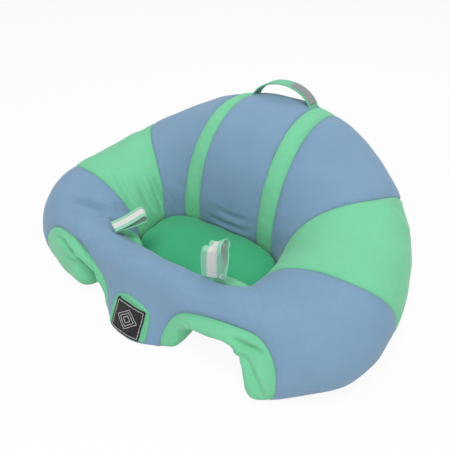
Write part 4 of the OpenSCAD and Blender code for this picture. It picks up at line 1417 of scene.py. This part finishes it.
def set_uv(mesh, uv):
    """One UV map in metres from a value for each point."""
    layer = mesh.uv_layers.new(name="UVMap")
    for loop in mesh.loops:
        layer.data[loop.index].uv = uv[loop.vertex_index]


def closed_piece(name, points, faces, material, uv):
    """Object of a closed mesh whose faces are turned outwards."""
    mesh = new_mesh(name, points, faces)
    set_uv(mesh, uv)
    bm = bmesh.new()
    bm.from_mesh(mesh)
    bmesh.ops.recalc_face_normals(bm, faces=bm.faces)
    bm.to_mesh(mesh)
    bm.free()
    mesh.shade_smooth()
    mesh.materials.append(material)
    return new_object(name, mesh)


def slab(name, top, bottom, material, uv):
    """Closed pad between two grids of points, each as [column][row]."""
    top, bottom = np.asarray(top, float), np.asarray(bottom, float)
    cols, rows = top.shape[:2]
    n = cols * rows
    points = np.concatenate([top.reshape(-1, 3), bottom.reshape(-1, 3)])
    upper = grid_faces(rows, cols)
    faces = list(upper) + [tuple(n + i for i in reversed(f)) for f in upper]
    rim = ([(i, 0) for i in range(cols)] + [(cols - 1, j) for j in range(1, rows)]
           + [(i, rows - 1) for i in range(cols - 2, -1, -1)]
           + [(0, j) for j in range(rows - 2, 0, -1)])
    rim = [i * rows + j for i, j in rim]
    for a, b in zip(rim, rim[1:] + rim[:1]):
        faces.append((b, a, n + a, n + b))
    return closed_piece(name, points, faces, material,
                        np.concatenate([np.reshape(uv, (-1, 2))] * 2))


def swept_strap(name, path, across, width, thick, material):
    """Flat strap with rounded edges along a path, with a way across given for
    each point. Also gives the way out of its face at each point."""
    n = len(path)
    ahead = np.gradient(path, axis=0)
    ahead /= np.linalg.norm(ahead, axis=1)[:, None]
    across = across - (across * ahead).sum(1)[:, None] * ahead
    across /= np.linalg.norm(across, axis=1)[:, None]
    out = np.cross(across, ahead)
    run = run_along(path)
    half, r = width / 2, thick / 2
    flat = np.linspace(-(half - r), half - r, 9)
    bends = (0.8, 1.57, 2.34)
    profile = [(x, r, x) for x in flat]
    profile += [(half - r + r * math.sin(t), r * math.cos(t), half) for t in bends]
    profile += [(x, -r, x) for x in flat[::-1]]
    profile += [(-half + r - r * math.sin(t), -r * math.cos(t), -half) for t in bends]
    m = len(profile)
    points, uv = [], []
    for i in range(n):
        for x, y, u in profile:
            points.append(path[i] + across[i] * x + out[i] * y)
            uv.append((u, run[i]))
    faces = []
    for i in range(n - 1):
        for j in range(m):
            a, b = i * m + j, i * m + (j + 1) % m
            faces.append((a, b, b + m, a + m))
    faces += [tuple(reversed(range(m))), tuple(range((n - 1) * m, n * m))]
    return closed_piece(name, points, faces, material, uv), out


def even_path(points, step):
    """Points at an even step along a line."""
    points = np.asarray(points, float)
    run = run_along(points)
    n = max(2, int(round(run[-1] / step)))
    at = np.linspace(0, run[-1], n + 1)
    return np.stack([np.interp(at, run, points[:, i]) for i in range(points.shape[1])], 1)


def surface_tree(obj):
    """Search tree over a piece's faces."""
    return BVHTree.FromPolygons([v.co.copy() for v in obj.data.vertices],
                                [tuple(f.vertices) for f in obj.data.polygons])


def joint_place(name):
    """Place of a joint of the frame, in metres."""
    return np.array(next(j["pos_m"] for j in frame["joints"] if j["name"] == name))


COVER_NODES = {
    "front_panel": ("front_cover", "front_filling"),
    "right_lining": ("right_leg_lining",),
    "left_lining": ("left_leg_lining",),
    "seat_panel": ("seat_cover", "seat_filling"),
    "right_side_panel": ("right_side_cover", "right_side_filling"),
    "left_side_panel": ("left_side_cover", "left_side_filling"),
    "right_back_panel": ("right_back_cover",),
    "left_back_panel": ("left_back_cover",),
    "right_band": ("right_back_band",),
    "left_band": ("left_back_band",),
    "centre_back_panel": ("centre_back_cover", "back_filling"),
}


def build_covers():
    """Sewn and stuffed covers, linings and seat cushion."""
    sewing = bpy.context.scene.seat_sewing
    panels = all_panels(Ring(bpy.context.scene.seat_sizes))
    stuff(panels, sewing)
    for panel in panels:
        obj = cloth_piece(panel.name, panel, FINISH[panel.kind], CREASES.get(panel.name, ()))
        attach(obj, "root")
        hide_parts(*COVER_NODES[panel.name])


def build_base():
    """Underside panel with its sewn edge and the zip's slot."""
    ring = Ring(bpy.context.scene.seat_sizes)
    low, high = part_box("zip_coils")
    slot_y = (low.y + high.y) / 2
    half_l, half_w = high.x + 4 * MM, 4.5 * MM
    under_lining, drawn_in = 3.4 * MM, 0.7 * MM
    cell, edge_step = 9 * MM, 4 * MM

    def foot(a, k):
        return ring.plan(a, k) - np.array([0, ring.mid_y])

    def outer_k(a):
        return ring.across(a, ring.angle_at(a, FLOOR_EDGE))

    def inner_k(a):
        return ring.across(a, 180 - ring.angle_at(a, COVER_LOW), -under_lining)

    # The edge goes round the ring, and inwards beside each leg opening
    before, after = RIM_START + 1, RIM_END - 2
    half = []
    for side in (1, -1):
        post, mouth, rest = (side * np.linspace(*ends) for ends in (
            (0.0, before, 10), (before, after, 24), (after, 180, 90)))
        way_in, way_out = np.full(10, side * before), np.full(14, side * after)
        half.append(np.concatenate([
            foot(post, outer_k(post)),
            foot(way_in, np.linspace(outer_k(way_in)[0], inner_k(way_in)[0], 10)),
            foot(mouth, inner_k(mouth)),
            foot(way_out, np.linspace(inner_k(way_out)[0], outer_k(way_out)[0], 14)),
            foot(rest, outer_k(rest))]))
    loop = np.concatenate([half[0], half[1][::-1][1:-1]])
    keep = [loop[0]]
    for p in loop[1:]:
        if np.linalg.norm(p - keep[-1]) > 1.5 * MM:
            keep.append(p)
    loop = even_path(np.array(keep + keep[:1]), edge_step)[:-1]
    middle = loop.mean(0)
    reach = np.linalg.norm(loop - middle, axis=1)
    loop = middle + (loop - middle) * (1 - drawn_in / reach)[:, None]
    loop = fuller(np.column_stack([loop, np.full(len(loop), FLOOR_EDGE)]))[:, :2]
    slot = np.array([(-half_l, slot_y - half_w), (half_l, slot_y - half_w),
                     (half_l, slot_y + half_w), (-half_l, slot_y + half_w)])
    slot = even_path(np.vstack([slot, slot[:1]]), edge_step)[:-1]
    xs = np.arange(-0.3, 0.3, cell)
    lattice = np.array([(x, y) for x in xs for y in xs])
    lattice = lattice[inside(lattice, loop) & ~inside(lattice, slot)]
    edge = np.concatenate([loop, slot])
    rows = rows_inside(loop, (1.6 * MM, 3.2 * MM, 5 * MM), 2.5 * MM)
    lattice = lattice[near_distance(lattice, np.concatenate([edge, rows[-1]])) > 0.6 * cell]
    flat = np.concatenate([edge, *rows, lattice])
    n, m = len(loop), len(slot)
    rings = [(i, (i + 1) % n) for i in range(n)] + [(n + i, n + (i + 1) % m) for i in range(m)]
    made = geometry.delaunay_2d_cdt([Vector(p) for p in flat], rings, [], 2, 1e-7)
    flat = np.array([v[:] for v in made[0]])
    faces = [f for f in made[2]
             if not inside(flat[list(f)].mean(0)[None], slot)[0]
             and inside(flat[list(f)].mean(0)[None], loop)[0]]
    rim = near_distance(flat, edge)
    lift = 0.3 * MM + 2.2 * MM * np.exp(-(rim / (2.5 * MM)) ** 2)
    points = np.column_stack([flat, lift])
    mesh = new_mesh("base_panel", points, [f[::-1] if face_up(flat, f) else f for f in faces])
    mesh.materials.append(FINISH["base"])
    obj = new_object("base_panel", mesh)
    thicken(obj, 1.2 * MM)
    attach(obj, "root")
    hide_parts("base_cover")
    inner = rows_inside(loop, (6.5 * MM,), 2 * MM)[0]
    line = [((*p, 0.35 * MM), (0, 0, -1)) for p in np.vstack([inner, inner[:1]])]
    stitches = row_piece("base_stitches", [line], FINISH["base_thread"],
                         4 * MM, 2.8 * MM, 0.7 * MM, 0.5 * MM)
    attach(stitches, "root")


def face_up(flat, face):
    """Whether a flat face runs anticlockwise, which turns it upwards."""
    a, b, c = (flat[i] for i in face[:3])
    return (b[0] - a[0]) * (c[1] - a[1]) - (b[1] - a[1]) * (c[0] - a[0]) > 0


def build_zip():
    """Teeth of the zip; its tapes, stops, slider and pull are the CAD nodes."""
    low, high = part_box("zip_coils")
    middle = (low.y + high.y) / 2
    half_gap = 0.7 * MM
    width = (high.y - low.y) / 2 - half_gap
    lines = []
    for side in (-1, 1):
        y = middle + side * (half_gap + width / 2)
        z = (low.z + high.z) / 2
        lines.append([((x, y, z), (0, 0, 1)) for x in (low.x + 0.4 * MM, high.x - 0.4 * MM)])
    teeth = row_piece("zip_teeth", lines, FINISH["teeth"], 1.5 * MM,
                      0.9 * MM, 1.5 * MM, 1.4 * MM, section="round")
    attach(teeth, "root")
    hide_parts("zip_coils")
    for node, finish in (("zip_tapes", "tape"), ("zip_stops", "metal"),
                         ("zip_slider", "metal"), ("zip_pull", "metal")):
        obj = frame["nodes"][node]
        obj.data.materials.clear()
        obj.data.materials.append(FINISH[finish])


def build_handle():
    """Webbing handle, and the small tag on it with its sewn ends."""
    z = bpy.context.scene.seat_sizes
    _, hinge_y, hinge_z = joint_place("handle_swing")
    foot_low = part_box("handle_feet")[0].z
    half = z.band_x - z.band_w / 2
    foot = foot_low - 6 * MM
    rise = hinge_z + z.handle_rise - z.webbing_t / 2 - foot
    turns = np.linspace(0, 180, 160)
    arch = np.stack([half * cosd(turns), np.full(160, hinge_y), foot + rise * sind(turns)], 1)
    path = even_path(arch, 2.2 * MM)
    strap, out = swept_strap("handle_webbing", path, np.tile([0.0, 1.0, 0.0], (len(path), 1)),
                             z.webbing_w, z.webbing_t, FINISH["webbing"])
    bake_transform(strap)
    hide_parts("handle_strap", "handle_feet")
    low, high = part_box("handle_tag")
    on_tag = np.nonzero((path[:, 0] > low.x - 20 * MM) & (path[:, 0] < high.x - 1 * MM))[0]
    sign = -1.0 if out[on_tag, 2].mean() > 0 else 1.0
    part = even_path(path[on_tag] - sign * out[on_tag] * (z.webbing_t / 2 + 0.5 * MM), 1.2 * MM)
    tag, tag_out = swept_strap("woven_tag", part, np.tile([0.0, 1.0, 0.0], (len(part), 1)),
                               z.webbing_w - 6 * MM, 0.8 * MM, FINISH["tag"])
    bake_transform(tag)
    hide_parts("handle_tag")
    lines = []
    top = part - sign * tag_out * 0.45 * MM
    for end in (2, len(part) - 3):
        p = top[end]
        lines.append([((p[0], hinge_y + y, p[2]), tuple(-sign * tag_out[end]))
                      for y in np.linspace(-8, 8, 9) * MM])
    stitches = row_piece("tag_stitches", lines, FINISH["thread"], 2.2 * MM,
                         1.6 * MM, 0.5 * MM, 0.4 * MM)
    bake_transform(stitches)


# The right loop from its front strand, 0, over its fold to its back strand, 1:
# how far it stands aside, how far its ribbon is twisted, and its slant
RIGHT_LOOP_SHARE = (0, 0.25, 0.42, 0.55, 0.75, 1)
RIGHT_LOOP_ASIDE = (0, 0, 3, 8, 13, 5)
RIGHT_LOOP_TWIST = (0, 4, 22, 40, 50, 18)
RIGHT_LOOP_SLANT = (0, 0.15, 0.75, 0.6, 0.2, 0)


def eased(share, at, values):
    """Values along the ribbon between the given ones, without corners."""
    line = np.interp(share, at, values)
    for _ in range(3):
        line = np.convolve(np.pad(line, 3, mode="edge"), np.ones(7) / 7, mode="valid")
    return line[:, None]


# Side, radius of the end, lean in degrees and slant of each loop
LOOPS = (("right", 1, 8.4 * MM, 8, 0.0), ("left", -1, 5.4 * MM, 80, 0.12))
LOOP_TURN, LOOP_STAND, RIBBON_T = 26, 45.4 * MM, 1.1 * MM


def drop_path(r, neck, stand):
    """Middle line of a ribbon loop: up one side, round its end and down."""
    d = stand - r
    b = math.asin((r - neck) / d)
    t = np.linspace(-b, math.pi + b, 60)
    head = np.stack([r * np.cos(t), d + r * np.sin(t)], 1)
    start = np.array([[neck, -4 * MM], [neck * math.cos(b), 0]])
    return np.concatenate([start, head, start[::-1] * [-1, 1]])


def build_loops():
    """Ribbon loops for toys on the front bar. The right one stands with its
    end folded over at a slant, and the left one lies towards the cavity."""
    z = bpy.context.scene.seat_sizes
    for name, side, radius, lean, slant in LOOPS:
        place = joint_place(f"{name}_loop_swing")
        flat = even_path(drop_path(radius, RIBBON_T * 0.62, LOOP_STAND), 1.5 * MM)
        spin = (Matrix.Rotation(math.radians(LOOP_TURN) * side, 3, "Z")
                @ Matrix.Rotation(-math.radians(lean), 3, "X"))
        wide, over, up = (np.array(spin @ Vector(axis)) for axis in np.eye(3))
        height = np.clip(flat[:, 1:2] / (45 * MM), 0, 1)
        path = place + over * flat[:, 0:1] + up * flat[:, 1:2]
        path = path + over * np.sin(height * 5.0) * 0.8 * MM
        across = np.tile(wide, (len(path), 1)) + up * slant * side * height ** 2
        if side > 0:
            share = np.linspace(1, 0, len(path))
            path = path + wide * eased(share, RIGHT_LOOP_SHARE, RIGHT_LOOP_ASIDE) * MM
            twist = eased(share, RIGHT_LOOP_SHARE, RIGHT_LOOP_TWIST)
            rise = eased(share, RIGHT_LOOP_SHARE, RIGHT_LOOP_SLANT)
            across = wide * cosd(twist) - over * sind(twist) + up * rise
        loop, _ = swept_strap(f"{name}_ribbon_loop", path, across, z.ribbon_w, RIBBON_T,
                              FINISH["ribbon"])
        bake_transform(loop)
        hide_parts(f"{name}_toy_loop", *(("loop_feet",) if side > 0 else ()))


def post_grid(tree, width, low, top, drop, cols, rows, narrow=0.0):
    """Points and normals on the centre post behind a rectangle seen from the
    front, from low up to top, lower by drop at its sides and with its upper
    corners drawn in by a share of its width."""
    points = np.zeros((cols + 1, rows + 1, 3))
    for i, u in enumerate(np.linspace(-1, 1, cols + 1)):
        high = top - drop * u * u
        for j, zed in enumerate(np.linspace(low, high, rows + 1)):
            drawn = 1 - narrow * (j / rows) ** 6
            start = Vector((u * width / 2 * drawn, -0.4, zed))
            hit = tree.ray_cast(start, Vector((0, 1, 0)))[0]
            points[i, j] = hit if hit else start
    for _ in range(6):
        y = points[..., 1]
        new = y.copy()
        new[1:-1, 1:-1] = (y[:-2, 1:-1] + y[2:, 1:-1] + y[1:-1, :-2] + y[1:-1, 2:]) / 4
        points[..., 1] = new
    along = np.gradient(points, axis=0)
    upward = np.gradient(points, axis=1)
    normal = np.cross(along, upward)
    normal /= np.linalg.norm(normal, axis=2)[..., None]
    return points, normal


def build_patch():
    """Bordered patch on the centre post, and the woven label sewn on it, which
    carries only a stitched border and plain diamonds."""
    z = bpy.context.scene.seat_sizes
    tree = surface_tree(bpy.data.objects["front_panel"])
    cols, rows = 60, 46
    points, normal = post_grid(tree, z.patch_w, z.patch_bottom, z.patch_top, z.patch_drop,
                               cols, rows, narrow=0.14)
    u = np.linspace(-1, 1, cols + 1)[:, None] * z.patch_w / 2
    v = np.linspace(0, 1, rows + 1)[None, :]
    tall = z.patch_top - z.patch_drop * (u * 2 / z.patch_w) ** 2 - z.patch_bottom
    edge = np.minimum(np.minimum(z.patch_w / 2 - np.abs(u), v * tall), (1 - v) * tall)
    # A rolled border, and the groove of its seam inside it
    puff = (0.9 * MM + 1.1 * MM * smooth(edge, 0, 2.5 * MM)
            + 1.3 * MM * np.exp(-((edge - 2.6 * MM) / (1.7 * MM)) ** 2)
            - 0.9 * MM * np.exp(-((edge - 5.6 * MM) / (0.8 * MM)) ** 2))
    top = points + normal * puff[..., None]
    bottom = points - normal * 1.5 * MM
    uv = np.stack(np.broadcast_arrays(u, v * tall), -1)
    patch = slab("post_patch_pad", top, bottom, FINISH["mint"], uv)
    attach(patch, "root")
    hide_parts("post_patch")
    cols, rows = 50, 36
    points, normal = post_grid(surface_tree(patch), z.label_w, z.label_bottom, z.label_top, 0.0,
                               cols, rows)
    tall = z.label_top - z.label_bottom
    u = np.linspace(-1, 1, cols + 1)[:, None] * z.label_w / 2
    v = np.linspace(0, 1, rows + 1)[None, :] * tall
    edge = np.minimum(np.minimum(z.label_w / 2 - np.abs(u), v), tall - v)
    stand = 0.9 * MM + 0.35 * MM * np.exp(-(edge / (1.2 * MM)) ** 2)
    top = points + normal * stand[..., None]
    bottom = points + normal * 0.15 * MM
    uv = np.stack(np.broadcast_arrays(u, v), -1)
    label = slab("woven_label", top, bottom, FINISH["label"], uv)
    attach(label, "root")
    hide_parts("post_label")

    def on_label(x, y):
        """Point and way out on the label's face."""
        i = np.interp(x, u[:, 0], np.arange(cols + 1))
        j = np.interp(y, v[0], np.arange(rows + 1))
        a, b = min(int(i), cols - 1), min(int(j), rows - 1)
        s, t = i - a, j - b
        p = mix(mix(top[a, b], top[a + 1, b], s), mix(top[a, b + 1], top[a + 1, b + 1], s), t)
        return tuple(p + normal[a, b] * 0.1 * MM), tuple(normal[a, b])

    inset = 2.6 * MM
    x0, y0, y1 = z.label_w / 2 - inset, inset, tall - inset
    corners = np.array([(-x0, y0), (x0, y0), (x0, y1), (-x0, y1), (-x0, y0)])
    lines = [[on_label(*p) for p in even_path(corners, 1 * MM)]]
    tip_y, tip_x, mid = 11.5 * MM, 17.25 * MM, (y0 + y1) / 2
    tips = np.array([(0, tip_y), (tip_x, 0), (0, -tip_y), (-tip_x, 0), (0, tip_y)])
    for scale in (1.0, 0.7, 0.36):
        lines.append([on_label(x, mid + y) for x, y in even_path(tips * scale, 1 * MM)])
    stitches = row_piece("label_stitches", lines, FINISH["thread"], 2.0 * MM,
                         1.9 * MM, 1.15 * MM, 0.6 * MM)
    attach(stitches, "root")


# ---- Stage --------------------------------------------------------------

def seen_rays(w):
    """1 for what the camera sees, also by reflection, and 0 for light."""
    path = w.tree.nodes.new("ShaderNodeLightPath")
    return w.math("MAXIMUM", path.outputs["Is Camera Ray"], path.outputs["Is Glossy Ray"])


def build_stage():
    """Pale floor, soft lamps and the camera."""
    scene = bpy.context.scene
    floor = new_object("floor", new_mesh(
        "floor", [(-6, -6, 0), (6, -6, 0), (6, 6, 0), (-6, 6, 0)], [(0, 1, 2, 3)]))
    material, w, shader = material_base("Pale floor", 0.9)
    shader.inputs["Base Color"].default_value = (0.86, 0.86, 0.86, 1)
    tree = material.node_tree
    glow = tree.nodes.new("ShaderNodeEmission")
    glow.inputs["Color"].default_value = (1, 1, 1, 1)
    glow.inputs["Strength"].default_value = 1.0
    both = tree.nodes.new("ShaderNodeMixShader")
    w.put(both.inputs[0], w.math("MULTIPLY", seen_rays(w), FLOOR_GLOW))
    tree.links.new(shader.outputs[0], both.inputs[1])
    tree.links.new(glow.outputs[0], both.inputs[2])
    tree.links.new(both.outputs[0], tree.nodes["Material Output"].inputs["Surface"])
    floor.data.materials.append(material)

    world = bpy.data.worlds.new("Studio")
    world.use_nodes = True
    scene.world = world
    nodes, links = world.node_tree.nodes, world.node_tree.links
    plain = nodes["Background"]
    plain.inputs["Color"].default_value = (1, 1, 1, 1)
    plain.inputs["Strength"].default_value = WORLD_LIGHT
    white = nodes.new("ShaderNodeBackground")
    white.inputs["Color"].default_value = (1, 1, 1, 1)
    both = nodes.new("ShaderNodeMixShader")
    links.new(seen_rays(Wires(world.node_tree)), both.inputs[0])
    links.new(plain.outputs[0], both.inputs[1])
    links.new(white.outputs[0], both.inputs[2])
    links.new(both.outputs[0], nodes["World Output"].inputs["Surface"])

    for name, place, size, power in LAMPS:
        lamp = bpy.data.lights.new(name, "AREA")
        lamp.shape, lamp.size, lamp.energy = "SQUARE", size, power
        obj = bpy.data.objects.new(name, lamp)
        scene.collection.objects.link(obj)
        obj.location = place
        to_seat = LAMPS_LOOK_AT - obj.location
        obj.rotation_euler = to_seat.to_track_quat("-Z", "Y").to_euler()

    camera = bpy.data.cameras.new("Camera")
    camera.sensor_width = SENSOR
    camera.sensor_fit = "HORIZONTAL"
    camera.lens = SENSOR * FOCAL_PIXELS / PHOTO_PIXELS
    camera.clip_start = 0.01
    obj = bpy.data.objects.new("Camera", camera)
    scene.collection.objects.link(obj)
    az, el = math.radians(CAMERA_AZIMUTH), math.radians(CAMERA_ELEVATION)
    right = Vector((math.cos(az), math.sin(az), 0))
    ahead = Vector((-math.sin(az) * math.cos(el), math.cos(az) * math.cos(el), -math.sin(el)))
    up = right.cross(ahead)
    turn = Matrix((right, up, -ahead)).transposed().to_4x4()
    obj.matrix_world = Matrix.Translation(CAMERA_PLACE) @ turn
    scene.camera = obj
    scene.view_settings.view_transform = "Standard"


# ---- Operators, panel and start -----------------------------------------

class SEAT_OT_covers(bpy.types.Operator):
    """Sews and stuffs the covers, the leg linings and the seat cushion"""
    bl_idname = "floor_seat.covers"
    bl_label = "Covers and Cushion"

    def execute(self, context):
        build_covers()
        return {"FINISHED"}


class SEAT_OT_base(bpy.types.Operator):
    """Makes the underside panel and its row of stitches"""
    bl_idname = "floor_seat.base"
    bl_label = "Base Panel"

    def execute(self, context):
        build_base()
        return {"FINISHED"}


class SEAT_OT_zip(bpy.types.Operator):
    """Makes the zip's teeth and finishes its tapes, stops, slider and pull"""
    bl_idname = "floor_seat.zip"
    bl_label = "Zip"

    def execute(self, context):
        build_zip()
        return {"FINISHED"}


class SEAT_OT_handle(bpy.types.Operator):
    """Makes the webbing handle and its tag"""
    bl_idname = "floor_seat.handle"
    bl_label = "Carrying Handle"

    def execute(self, context):
        build_handle()
        return {"FINISHED"}


class SEAT_OT_loops(bpy.types.Operator):
    """Makes the two ribbon loops on the front bar"""
    bl_idname = "floor_seat.loops"
    bl_label = "Toy Loops"

    def execute(self, context):
        build_loops()
        return {"FINISHED"}


class SEAT_OT_patch(bpy.types.Operator):
    """Makes the bordered patch and the woven label on the centre post"""
    bl_idname = "floor_seat.patch"
    bl_label = "Patch and Label"

    def execute(self, context):
        build_patch()
        return {"FINISHED"}


class SEAT_OT_stage(bpy.types.Operator):
    """Sets up the floor, the lamps and the camera"""
    bl_idname = "floor_seat.stage"
    bl_label = "Stage"

    def execute(self, context):
        build_stage()
        return {"FINISHED"}


OPERATORS = (SEAT_OT_stage, SEAT_OT_covers, SEAT_OT_base, SEAT_OT_zip, SEAT_OT_handle,
             SEAT_OT_loops, SEAT_OT_patch)


class SEAT_PT_sidebar(bpy.types.Panel):
    """Lists the seat's sizes, sewing, colours and building steps"""
    bl_label = "Baby Floor Seat"
    bl_idname = "SEAT_PT_sidebar"
    bl_space_type = "VIEW_3D"
    bl_region_type = "UI"
    bl_category = "Floor Seat"

    def draw(self, context):
        scene = context.scene
        for title, group in (("Sizes", scene.seat_sizes), ("Sewing", scene.seat_sewing),
                             ("Colours", scene.seat_colours)):
            box = self.layout.box()
            box.label(text=title)
            for name in group.__annotations__:
                box.prop(group, name)
        for operator in OPERATORS:
            self.layout.operator(operator.bl_idname)


CLASSES = (SeatSizes, SeatSewing, SeatColours, *OPERATORS, SEAT_PT_sidebar)


def register():
    """Adds the classes and the scene's groups of settings."""
    for made in CLASSES:
        bpy.utils.register_class(made)
    scene = bpy.types.Scene
    scene.seat_sizes = bpy.props.PointerProperty(type=SeatSizes)
    scene.seat_sewing = bpy.props.PointerProperty(type=SeatSewing)
    scene.seat_colours = bpy.props.PointerProperty(type=SeatColours)


def unregister():
    """Takes them away again."""
    for name in ("seat_sizes", "seat_sewing", "seat_colours"):
        delattr(bpy.types.Scene, name)
    for made in reversed(CLASSES):
        bpy.utils.unregister_class(made)


def main():
    """Builds every piece through its operator."""
    register()
    make_finishes()
    for operator in OPERATORS:
        group, name = operator.bl_idname.split(".")
        getattr(getattr(bpy.ops, group), name)()


if __name__ == "__main__":
    main()
